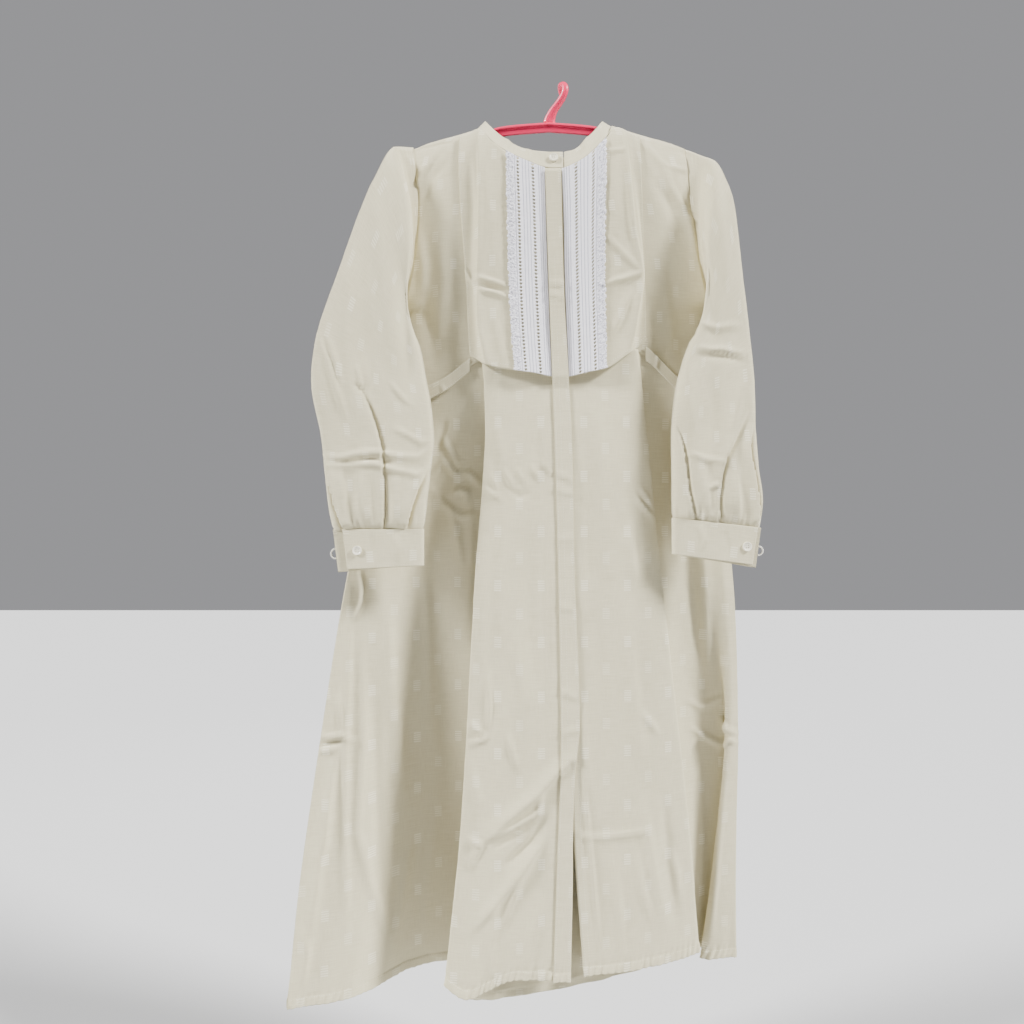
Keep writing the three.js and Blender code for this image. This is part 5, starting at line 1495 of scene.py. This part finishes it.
@dataclass
class Lace:
    """The lace on one half of the bib: rows of holes, pintucks and a feathery outer edge."""

    side: Side
    holes: int = 60
    rows_each: int = 6
    lift: float = 1.5
    width: float = 50.0
    lean: float = 0.005
    rows_open: tuple[int, int] = (1, 5)
    centres: tuple[float, float] = (0.32, 0.69)
    columns: tuple[float, ...] = (
        0, .035, .07, .10, .13, .16, .19, .225, .255, .275, .288, .32, .352, .365, .385, .415, .457, .50,
        .543, .585, .62, .642, .658, .69, .722, .738, .755, .775, .795, .82, .845, .87, .895, .92, .945,
        .97, 1)
    feather: float = 0.78

    def build(self, wardrobe: Wardrobe, bib: Bib) -> None:
        """Builds the lace.

        Args:
            wardrobe: gives it its finish.
            bib: the cloth that it lies on.
        """
        fine, side = 12, self.side
        raw = bib.grid(side, fine, 120)[:, fine:3 * fine + 1]
        count = self.holes * self.rows_each
        row = np.linspace(0, len(raw) - 1, count + 1)
        low = np.minimum(row.astype(int), len(raw) - 2)
        raw = lerp(raw[low], raw[low + 1], (row - low)[:, None, None])
        u = np.broadcast_to(np.array(self.columns), (count + 1, len(self.columns))).copy()
        phase = (np.arange(count + 1) % self.rows_each)[:, None]
        first, last = self.rows_open
        for centre in self.centres:
            near = np.abs(u - centre) < HOLE_REACH
            tip = ((phase == first) | (phase == last)) & near
            u = np.where(tip, centre + (u - centre) * 0.55, u)
            u = np.where(near, u + side.value * self.lean * (3.0 - phase), u)
        ragged = smooth_noise(np.arange(count + 1) * 0.9, np.zeros(count + 1), 1.7, 41)[:, None]
        u = u + 0.028 * ragged * np.clip((u - 0.9) / 0.1, 0, 1)
        place = np.clip(u, 0, 1.02) * 2 * fine
        base = np.clip(place.astype(int), 0, 2 * fine - 1)
        share = (place - base)[..., None]
        i = np.arange(count + 1)[:, None]
        grid = lerp(raw[i, base], raw[i, base + 1], share)
        flat = np.stack([u * self.width, -np.broadcast_to(i, u.shape) * 4.5 / self.rows_each], axis=2)
        middles = (np.array(self.columns[:-1]) + np.array(self.columns[1:])) / 2
        opened = (phase[:-1] >= first) & (phase[:-1] < last)
        holes = opened & np.any([np.abs(middles - c) < HOLE_REACH for c in self.centres], axis=0)[None]
        rim = sum(np.exp(-(((np.abs(u - c) - 0.046) / 0.014) ** 2)) for c in self.centres)
        bars = sum(np.exp(-(((u - c) / 0.02) ** 2)) for c in self.centres) * (phase == 0)
        puff = np.clip((u - self.feather) / 0.03, 0, 1)
        fringe = 0.5 + 0.5 * smooth_noise(u * 95 + i * 0.25, i * 0.62 - u * 18, 1.0, 43)
        height = 0.4 * rim + 0.35 * bars + puff * (0.2 + 1.7 * fringe)
        turned = facing_out(grid, -1)
        if turned is not grid:
            height, flat, holes = height[:, ::-1], flat[:, ::-1], holes[:, ::-1]
        shaped = creased(turned, CREASES["bib", side], seed=23)
        shaped = shaped + normals(turned) * (self.lift + height)[..., None]
        wardrobe.cloth(f"lace_{side.key}", shaped, f"lace_{side.key}", (0.05, 0.27), None,
                       [f"bib_{side.key}"], "lace", thickness=0.5, uv=flat, holes=holes)


# ------------------------------------------------------------------------------------ collar
@dataclass
class Collar:
    """The standing band round the neck."""

    fine: int = 16
    rows: int = 20

    def grid(self) -> Array:
        """Lays out the band.

        Returns:
            Its points from its top edge to its seam.
        """
        steps = [self.fine] * (len(COLLAR) - 1)
        seam = through(collar_seam(), steps)
        top = through(COLLAR[:, 2:5], steps)
        v = np.linspace(0, 1, self.rows + 1)[:, None, None]
        grid = lerp(top[None], seam[None], v)
        grid[..., 2] -= v[..., 0] ** 6 * SEAM_LAP
        return grid + outwards_normals(grid) * (1.1 * v**4)

    def build(self, wardrobe: Wardrobe) -> None:
        """Builds the band.

        Args:
            wardrobe: gives it its finish.
        """
        grid = creased(self.grid(), CREASES["collar", Side.LEFT], rumple=0.15, seed=37)
        wardrobe.cloth("collar", grid, "collar", (0.024, 0.40), None, ["back"], thickness=1.1,
                       seams=[inset(grid, "first", 2.5), inset(grid, "last", 2.5)])


# ------------------------------------------------------------------------------------ sleeves
RING = "i inX inZ outX outZ y front back bow backBow outY"


def ring_table(rows: Sequence[Sequence[float]]) -> Table:
    """A sleeve's rings, numbered from the armhole down, with their outer depth added."""
    return Table(RING, [(i, *r, r[4] if i else 0) for i, r in enumerate(rows)])


SLEEVE = {
    Side.LEFT: ring_table([
        (-199.2, -287, -188.2, -75.7, -4, 20, 20, 14, 14),
        (-201, -290, -206, -79, -10, 16, 24, 16, 6), (-202, -297, -210, -86, -20, 22, 26, 24, -2),
        (-197, -307, -219, -106, -31, 23, 18, 22, -4), (-180, -322, -243, -163, -38, 21, 16, 8, -4),
        (-171, -345, -272, -248, -44, 20, 13, 0, 0), (-165, -378, -296, -322, -48, 18, 13, 0, 0),
        (-159, -408, -303, -383, -50, 18, 13, 0, 0), (-155, -450, -291, -445, -52, 17, 13, 0, 0),
        (-159, -490, -286, -490, -54, 16, 12, 0, 0), (-163, -525, -281, -530, -55, 14, 11, 0, 0),
        (-167, -560, -275.5, -561, -56, 11, 9, 0, 0)]),
    Side.RIGHT: ring_table([
        (189.2, -287, 158.2, -80.2, -4, 20, 20, -8, -8),
        (191, -290, 176, -91, -10, 16, 24, -10, -4), (193, -297, 192, -104, -20, 22, 26, -20, 2),
        (188, -306, 201, -130, -31, 23, 18, -20, 3), (168, -320, 209.5, -165, -38, 21, 16, -8, 3),
        (153, -338, 217, -246, -44, 20, 13, 0, 0), (142, -368, 223.5, -310, -48, 18, 13, 0, 0),
        (135, -398, 230, -374, -50, 18, 13, 0, 0), (131, -440, 231.5, -433, -52, 17, 13, 0, 0),
        (131, -480, 234.5, -482, -54, 16, 12, 0, 0), (131, -515, 239.5, -522, -55, 14, 11, 0, 0),
        (131.5, -547, 237, -559, -56, 11, 9, 0, 0)]),
}


def ring_points(r: dict[str, Array], turn: Array, out: Array | float = 0.0) -> Array:
    """Points of a flattened ring.

    Args:
        r: the ring's sizes.
        turn: 0 at the underarm, 0.5 at the outer side and 1 at the underarm again.
        out: how far its front stands out.

    Returns:
        One point for each turn.
    """
    sin = np.sin(turn * 2 * np.pi)
    along = (1 - np.cos(turn * 2 * np.pi)) / 2
    depth = np.where(sin > 0, -r["front"], r["back"])
    bow = np.where(sin > 0, r["bow"], r["backBow"])
    return np.stack(np.broadcast_arrays(
        lerp(r["inX"], r["outX"], along) + bow * sin * sin,
        lerp(r["y"], r["outY"], along) + depth * np.abs(sin) ** FULLNESS - out,
        lerp(r["inZ"], r["outZ"], along)), axis=-1)


@dataclass
class Sleeve:
    """A long sleeve and its cuff."""

    side: Side
    rows: int = 150
    columns: int = 150
    pleats: tuple[tuple[float, float], ...] = ((0.27, 4.5), (0.6, 5.0))
    pleat_width: float = 0.11
    tuck: float = 0.8
    lift: float = 0.0  # how far the head stands up towards the shoulder's end
    under_y: float = -60.5  # depth of the cuff's under lap, just behind its front

    def grid(self) -> Array:
        """Lays out the sleeve.

        Returns:
            Its points, from the armhole to the cuff.
        """
        half = np.arccos(1 - 2 * np.linspace(0, 1, self.columns // 2 + 1)) / (2 * np.pi)
        turn = np.concatenate([half[:-1], 0.5 + half])
        turn[0], turn[-1] = 0.004, 0.996
        along = (1 - np.cos(turn * 2 * np.pi)) / 2
        rows = []
        for place in np.linspace(0, 11, self.rows + 1):
            r = SLEEVE[self.side].at(place)
            rise = np.clip((place - 6) / 4, 0, 1) * np.clip((11 - place) / 0.7, 0, 1)
            out = sum(depth * rise * np.exp(-(((along - at) / self.pleat_width) ** 2))
                      for at, depth in self.pleats)
            rows.append(ring_points(r, turn, np.where(turn > 0.5, 0, out)))
        grid = np.stack(rows)
        return grid + self.set_in(grid[0], turn)

    def set_in(self, head: Array, turn: Array) -> Array:
        """The moves that bring the first rows to the armhole, just under the body's edge.

        Args:
            head: the first row's points.
            turn: each column's place round the sleeve.

        Returns:
            One move for each point of the sleeve.
        """
        hole = ARMHOLE[self.side]
        z = np.clip(head[:, 2], hole.pit_z, hole.top_z + 1)
        seam_x = hole.seam(z)[0] - self.side.value * self.tuck
        front = bodice_y(seam_x, z, Facing.FRONT) + self.tuck
        back = bodice_y(seam_x, z, Facing.BACK) - self.tuck
        seam = np.stack([seam_x, np.where(turn < 0.5, front, back), z], axis=1)
        share = np.clip(1 - np.linspace(0, 11, self.rows + 1) / 2.2, 0, 1) ** 1.5
        lift = np.clip(1 - (hole.top_z - z) / 25, 0, 1) * self.lift
        rise = np.exp(-((np.linspace(0, 11, self.rows + 1) / 1.1) ** 2))
        move = (seam - head)[None] * share[:, None, None]
        move[..., 2] += rise[:, None] * lift[None]
        return move

    def cuff(self) -> Array:
        """Lays out the cuff, a strip round the wrist that is open at its outer end.

        Returns:
            Its points, from its top edge to its hem.
        """
        c = CUFF[self.side]
        lap = (c["lapX"] - c["inX"]) / (c["outX"] - c["inX"])
        start = math.acos(1 - 2 * lap) / (2 * math.pi)
        turn = np.concatenate([np.linspace(start, 0.02, 70), np.linspace(0.98, 0.515, 71)[1:]])
        rows = []
        for v in np.linspace(-0.07, 1, 37):
            r = {"inX": c["inX"], "outX": c["outX"] + c["taper"] * v,
                 "inZ": c["inZ"] - 0.3 - c["height"] * v, "outZ": c["outZ"] - 0.3 - c["heightOut"] * v,
                 "y": -56, "outY": -56, "front": 11.4, "back": 9.4, "bow": 0, "backBow": 0}
            ring = ring_points(r, turn)
            along = (1 - np.cos(turn * 2 * np.pi)) / 2
            under = np.clip((along - 0.72) / 0.16, 0, 1) * (turn > 0.5)
            under = under * under * (3 - 2 * under)
            ring[:, 1] = lerp(ring[:, 1], self.under_y, under)
            ring[:, 2] -= 2.8 * max(v, 0) * np.where(turn > 0.5, along, 0) ** 0.7
            rows.append(ring)
        return np.stack(rows)

    def build(self, wardrobe: Wardrobe) -> None:
        """Builds the sleeve and its cuff.

        Args:
            wardrobe: gives them their finish.
        """
        key = self.side.key
        out = outwards(self.grid())
        front, back = (towards(out, facing) for facing in Facing)
        tucked = np.clip((np.linspace(0, 11, self.rows + 1) - 10.75) / 0.2, 0, 1)[:, None]
        out = creased(out, CREASES["sleeve", self.side], front * (1 - 0.75 * tucked), seed=43)
        out = creased(out, CREASES["sleeve_back", self.side], back * (1 - 0.75 * tucked), rumple=0)
        gathers = smooth_noise(np.arange(out.shape[1]) * 0.9, np.zeros(out.shape[1]), 2.3, 53)[None]
        rise = np.exp(-(((np.linspace(0, 11, self.rows + 1) - 10.72) / 0.22) ** 2))[:, None]
        out = out + normals(out) * (0.9 * gathers * rise - 1.7 * tucked)[..., None]
        area = {Side.LEFT: 0.12, Side.RIGHT: 0.09}[self.side]
        wardrobe.cloth(f"sleeve_{key}", out, f"sleeve_{key}", (0.32, 0.52), area, [f"bodice_front_{key}"])
        cuff = outwards(self.cuff())
        cuff = creased(cuff, CREASES["cuff", self.side], towards(cuff, Facing.FRONT), rumple=0.2, seed=47)
        wardrobe.cloth(f"cuff_{key}", cuff, f"cuff_{key}", (0.045, 0.24), None, [f"sleeve_{key}"],
                       thickness=1.1, seams=[inset(cuff, "first", 2.5), inset(cuff, "last", 2.5)])


def outwards_normals(grid: Array) -> Array:
    """The normals of a ring-shaped grid, turned away from its middle."""
    n = normals(grid)
    return n * np.sign((n * (grid - grid.mean(axis=1, keepdims=True))).sum())


def outwards(grid: Array) -> Array:
    """Turns a ring-shaped grid so that its normals point outwards.

    Args:
        grid: rings of points, one in each row.

    Returns:
        The grid, with its columns the other way round where that was needed.
    """
    centre = grid.mean(axis=1, keepdims=True)
    out = (normals(grid) * (grid - centre)).sum()
    return grid if out > 0 else grid[:, ::-1]


HEAD_LIFT = {Side.LEFT: 0.0, Side.RIGHT: 3.4}
CUFF = {
    Side.LEFT: {"inX": -166.5, "outX": -274.5, "lapX": -262, "taper": 6, "inZ": -560.6, "outZ": -561.6,
                "height": 41, "heightOut": 45},
    Side.RIGHT: {"inX": 131, "outX": 236, "lapX": 231, "taper": -6, "inZ": -547.4, "outZ": -559.4,
                 "height": 40.5, "heightOut": 42},
}


# ------------------------------------------------------------------------------------ buttons, loops, hanger
HOOK = np.array([
    (-14, 0, -45, 8, 3.4), (-12.5, -0.8, -38, 6.8, 3.4), (-8, -3, -29, 5.2, 3.4), (-1, -6, -20.5, 4.6, 3.4),
    (4.5, -9, -12, 4.4, 3.4), (6, -9.5, -4, 4.3, 3.4), (4, -6, 1.8, 4.1, 3.4), (1, 0, 3.7, 3.9, 3.4),
    (1.5, 6.2, 1.6, 3.8, 3.4), (3.5, 9.5, -4.5, 3.6, 3.2), (4.5, 10, -11.5, 3, 2.8)])  # x, y, z, wide, thick
ARM_SECTION = ((-2.6, 0), (2.6, 0), (4, -1.4), (4, -3.6), (1.8, -4.4), (1.8, -11.5),
               (-1.8, -11.5), (-1.8, -4.4), (-4, -3.6), (-4, -1.4))
ARM_HALF_LENGTH, ARM_DROP = 168.0, 4.0
LOOPS = {Side.LEFT: (-272.4, -588, -6, 12), Side.RIGHT: (234.3, -584.5, 6, 11)}  # x, z, reach, length
BUTTONS = {"collar_button": -0.33, "cuff_button_l": 0.0, "cuff_button_r": 0.0}  # lean in radians


def finished(name: str, *modifiers: tuple[str, dict]) -> bpy.types.Object:
    """Applies modifiers to the active piece, shades it smooth and names it.

    Args:
        name: its name.
        modifiers: the type and settings of each.

    Returns:
        The piece, at the origin and untransformed.
    """
    piece = bpy.context.object
    piece.name = piece.data.name = name
    for kind, settings in modifiers:
        modifier = piece.modifiers.new(kind.lower(), kind)
        for key, value in settings.items():
            setattr(modifier, key, value)
        bpy.ops.object.modifier_apply(modifier=modifier.name)
    bpy.ops.object.transform_apply(location=True, rotation=True, scale=True)
    bpy.ops.object.shade_smooth_by_angle(angle=0.7)
    return piece


def bar(name: str, rings: Array) -> bpy.types.Object:
    """A closed bar, extruded ring by ring from a flat disc.

    Args:
        name: its name.
        rings: the corners of each ring, in mm.

    Returns:
        The bar, as the active piece.
    """
    bpy.ops.object.select_all(action="DESELECT")
    corners = rings.shape[1]
    bpy.ops.mesh.primitive_circle_add(vertices=corners, radius=MM, fill_type="NGON", location=(0, 0, 0))
    bpy.ops.object.mode_set(mode="EDIT")
    bpy.ops.mesh.select_mode(type="VERT")
    mesh = bpy.context.object.data
    for number, ring in enumerate(rings * MM):
        edit = bmesh.from_edit_mesh(mesh)
        if number:
            start = rings[number - 1] * MM
            shift = ring.mean(axis=0) - start.mean(axis=0)
            bpy.ops.mesh.extrude_region_move(TRANSFORM_OT_translate={"value": tuple(shift)})
            edit = bmesh.from_edit_mesh(mesh)
            loose = [v for v in edit.verts if v.select]
            order = [min(loose, key=lambda v: (v.co - Vector(p + shift)).length).index for p in start]
        else:
            order = [v.index for v in edit.verts]
        edit.verts.ensure_lookup_table()
        for index, corner in zip(order, ring):
            bpy.ops.mesh.select_all(action="DESELECT")
            edit = bmesh.from_edit_mesh(mesh)
            edit.verts.ensure_lookup_table()
            edit.verts[index].select = True
            bpy.ops.transform.translate(value=tuple(Vector(corner) - edit.verts[index].co))
        edit = bmesh.from_edit_mesh(mesh)
        edit.verts.ensure_lookup_table()
        bpy.ops.mesh.select_all(action="DESELECT")
        for index in order:
            edit.verts[index].select = True
        edit.select_flush(True)
    bpy.ops.mesh.select_all(action="SELECT")
    bpy.ops.mesh.normals_make_consistent(inside=False)
    bpy.ops.object.mode_set(mode="OBJECT")
    bpy.context.object.name = name
    return bpy.context.object


def hanger() -> bpy.types.Object:
    """Models the hanger's ribbed arms with its hook.

    Returns:
        The whole hanger, in one piece.
    """
    reach = np.linspace(-ARM_HALF_LENGTH, ARM_HALF_LENGTH, 33)
    section = np.array(ARM_SECTION)
    arms = np.stack([np.stack([section[:, 0] * 0 + HANGER_X + d, section[:, 0],
                               section[:, 1] + float(SHOULDER.at(abs(d))["z"]) - ARM_DROP], axis=1)
                     for d in reach])
    bar("arms", arms)
    finished("arms", ("BEVEL", {"width": 0.5 * MM, "segments": 2, "limit_method": "ANGLE"}))
    path = through(HOOK, [3] * (len(HOOK) - 1))
    along = np.gradient(path[:, :3], axis=0)
    along /= np.linalg.norm(along, axis=1, keepdims=True)
    wide = np.array([1.0, 0, 0]) - along * along[:, :1]
    wide /= np.linalg.norm(wide, axis=1, keepdims=True)
    face = np.cross(along, wide)
    turn = np.arange(12) / 12 * 2 * np.pi
    rings = (path[:, None, :3] + wide[:, None] * (path[:, None, 3:4] * np.cos(turn)[None, :, None])
             + face[:, None] * (path[:, None, 4:5] * np.sin(turn)[None, :, None]))
    bar("hook", rings)
    hook = finished("hook", ("SUBSURF", {"levels": 1, "render_levels": 1}))
    arms_piece = bpy.data.objects["arms"]
    bpy.ops.object.select_all(action="DESELECT")
    arms_piece.select_set(True)
    bpy.context.view_layer.objects.active = arms_piece
    return finished("hanger_moulded", ("BOOLEAN", {"operation": "UNION", "solver": "EXACT", "object": hook}))


def button() -> bpy.types.Object:
    """Models a round button with a raised rim and four holes.

    Returns:
        The button, at the origin and facing the front.
    """
    bpy.ops.object.select_all(action="DESELECT")
    spread = 1.25 * MM
    bpy.ops.mesh.primitive_cylinder_add(vertices=8, radius=0.62 * MM, depth=8 * MM,
                                        rotation=(math.pi / 2, 0, 0), location=(spread, 0, spread))
    bpy.ops.object.mode_set(mode="EDIT")
    for step in ((-2, 0), (0, -2), (2, 0)):
        bpy.ops.mesh.duplicate_move(TRANSFORM_OT_translate={"value": (step[0] * spread, 0, step[1] * spread)})
    bpy.ops.object.mode_set(mode="OBJECT")
    cutter = finished("button_holes")
    bpy.ops.object.select_all(action="DESELECT")
    bpy.ops.mesh.primitive_cylinder_add(vertices=40, radius=5.6 * MM, depth=2.4 * MM,
                                        rotation=(math.pi / 2, 0, 0))
    bpy.ops.object.transform_apply(location=True, rotation=True, scale=True)
    bpy.ops.object.mode_set(mode="EDIT")
    bpy.ops.mesh.select_mode(type="FACE")
    bpy.ops.mesh.select_all(action="DESELECT")
    edit = bmesh.from_edit_mesh(bpy.context.object.data)
    for face in edit.faces:
        face.select = face.normal.y < -0.9
    bpy.ops.mesh.inset(thickness=1.0 * MM)
    bpy.ops.mesh.inset(thickness=0.7 * MM)
    bpy.ops.transform.translate(value=(0, 0.65 * MM, 0))
    bpy.ops.mesh.inset(thickness=1.2 * MM)
    bpy.ops.transform.translate(value=(0, 0.15 * MM, 0))
    bpy.ops.object.mode_set(mode="OBJECT")
    made = finished("button_blank", ("BEVEL", {"width": 0.35 * MM, "segments": 2, "limit_method": "ANGLE"}),
                    ("BOOLEAN", {"operation": "DIFFERENCE", "solver": "EXACT", "object": cutter}))
    bpy.data.objects.remove(cutter)
    return made


def loop_cord(side: Side) -> Array:
    """Lays out a cuff's loop of twisted cord.

    Args:
        side: which cuff.

    Returns:
        The cord's points, ring by ring.
    """
    x, z, reach, length = LOOPS[side]
    angle = np.linspace(0, np.pi, 61)
    around = np.linspace(0, 2 * np.pi, 19)
    path = np.stack([x + reach * np.sin(angle), angle * 0 - 54, z + length / 2 * np.cos(angle)], axis=1)
    out = np.stack([np.sign(reach) * np.sin(angle), angle * 0, np.cos(angle)], axis=1)
    lobes = 1.1 * (0.9 + 0.1 * np.cos(3 * around[None] + 9 * angle[:, None]))
    return (path[:, None] + out[:, None] * (lobes * np.cos(around))[..., None]
            + np.array([0, 1.0, 0]) * (lobes * np.sin(around))[..., None])


def build_trim(wardrobe: Wardrobe) -> None:
    """Builds the hanger, the three buttons and the two loops.

    Args:
        wardrobe: gives them their finish.
    """
    piece = hanger()
    bpy.data.objects.remove(bpy.data.objects["hook"])
    wardrobe.dress(piece, "plastic", "hanger")
    blank = button()
    for node, lean in BUTTONS.items():
        low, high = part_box(node)
        bpy.ops.object.select_all(action="DESELECT")
        made = blank.copy()
        made.data = blank.data.copy()
        made.name = made.data.name = node + "_moulded"
        bpy.context.collection.objects.link(made)
        bpy.context.view_layer.objects.active = made
        made.select_set(True)
        made.rotation_euler = (lean, 0, 0)
        made.location = (low + high) / 2
        bpy.ops.object.transform_apply(location=True, rotation=True, scale=True)
        wardrobe.dress(made, "button", node)
    bpy.data.objects.remove(blank)
    for side in Side:
        grid = loop_cord(side)
        rows, columns = grid.shape[:2]
        i, j = np.meshgrid(np.arange(rows - 1), np.arange(columns - 1), indexing="ij")
        a = (i * columns + j).ravel()
        turned = 1 if (normals(grid) * (grid - grid.mean(axis=1, keepdims=True))).sum() > 0 else -1
        faces = np.stack([a, a + 1, a + columns + 1, a + columns], axis=1)[:, ::turned]
        cord = mesh_object(f"cuff_loop_{side.key}_cord", grid.reshape(-1, 3) * MM, faces)
        wardrobe.dress(cord, "cord", f"cuff_loop_{side.key}")


# ------------------------------------------------------------------------------------ the scene
@dataclass
class Studio:
    """The floor, the lights and the camera."""

    eye: tuple[float, float, float] = (-0.061, -1.0, -0.538)
    lens: float = 27.67
    floor_z: float = -1.35
    world: Colour = (0.80, 0.80, 0.83, 1)
    ambient: float = 0.1
    backdrop: float = 0.42

    def build(self) -> None:
        """Builds everything that isn't part of the object."""
        bpy.ops.object.select_all(action="DESELECT")
        bpy.ops.mesh.primitive_plane_add(size=9, location=(0, 1.0, self.floor_z))
        floor = bpy.context.object
        floor.name = "floor"
        g = Graph("floor_paint")
        g.shader.inputs["Base Color"].default_value = (0.6, 0.6, 0.6, 1)
        g.shader.inputs["Roughness"].default_value = 0.9
        floor.data.materials.append(g.material)
        world = bpy.data.worlds.new("studio")
        world.use_nodes = True
        tree = world.node_tree
        background = tree.nodes["Background"]
        background.inputs[0].default_value = self.world
        seen_directly = tree.nodes.new("ShaderNodeLightPath").outputs["Is Camera Ray"]
        strength = tree.nodes.new("ShaderNodeMapRange")
        strength.inputs[3].default_value, strength.inputs[4].default_value = self.ambient, self.backdrop
        tree.links.new(seen_directly, strength.inputs[0])
        tree.links.new(strength.outputs[0], background.inputs[1])
        bpy.context.scene.world = world
        self.lamp("right", (1.7, -0.72, 0.9), (0.0, 0.0, -0.5), 0.2, 8.2, "SUN")
        self.lamp("left", (-1.75, -0.68, 0.7), (0.0, 0.0, -0.5), 0.2, 7.0, "SUN")
        self.lamp("rim", (-0.6, 1.6, 0.4), (0.0, 0.0, -0.5), 1.4, 10)
        camera = bpy.data.objects.new("camera", bpy.data.cameras.new("camera"))
        bpy.context.collection.objects.link(camera)
        camera.location = self.eye
        camera.rotation_euler = (math.pi / 2, 0, 0)
        camera.data.lens = self.lens
        camera.data.sensor_width = 36
        camera.data.clip_start = 0.02
        bpy.context.scene.camera = camera

    def lamp(self, name: str, place: Sequence[float], target: Sequence[float], size: float,
             power: float, kind: str = "AREA") -> None:
        """Adds a soft light.

        Args:
            name: its name.
            place: where it stands, in metres.
            target: what it points at.
            size: its side in metres, or the angle that it takes up, in radians, where it is far away.
            power: its power in watts, or in watts on a square metre where it is far away.
            kind: AREA, or SUN for a light that is far away.
        """
        data = bpy.data.lights.new(name, kind)
        setattr(data, "angle" if kind == "SUN" else "size", size)
        data.energy = power
        lamp = bpy.data.objects.new(name, data)
        bpy.context.collection.objects.link(lamp)
        lamp.location = place
        lamp.rotation_euler = (Vector(target) - Vector(place)).to_track_quat("-Z", "Y").to_euler()


def main() -> None:
    """Builds the tunic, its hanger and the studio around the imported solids."""
    logging.basicConfig(level=logging.INFO, format="%(name)s: %(message)s")
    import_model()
    studio = Studio()
    studio.build()
    wardrobe = Wardrobe()
    bodice = Bodice()
    bodice.build(wardrobe)
    left = Skirt().build(wardrobe, bodice)
    Bib().build(wardrobe, left)
    Collar().build(wardrobe)
    for side in Side:
        Sleeve(side, lift=HEAD_LIFT[side]).build(wardrobe)
    build_trim(wardrobe)


if __name__ == "__main__":
    main()
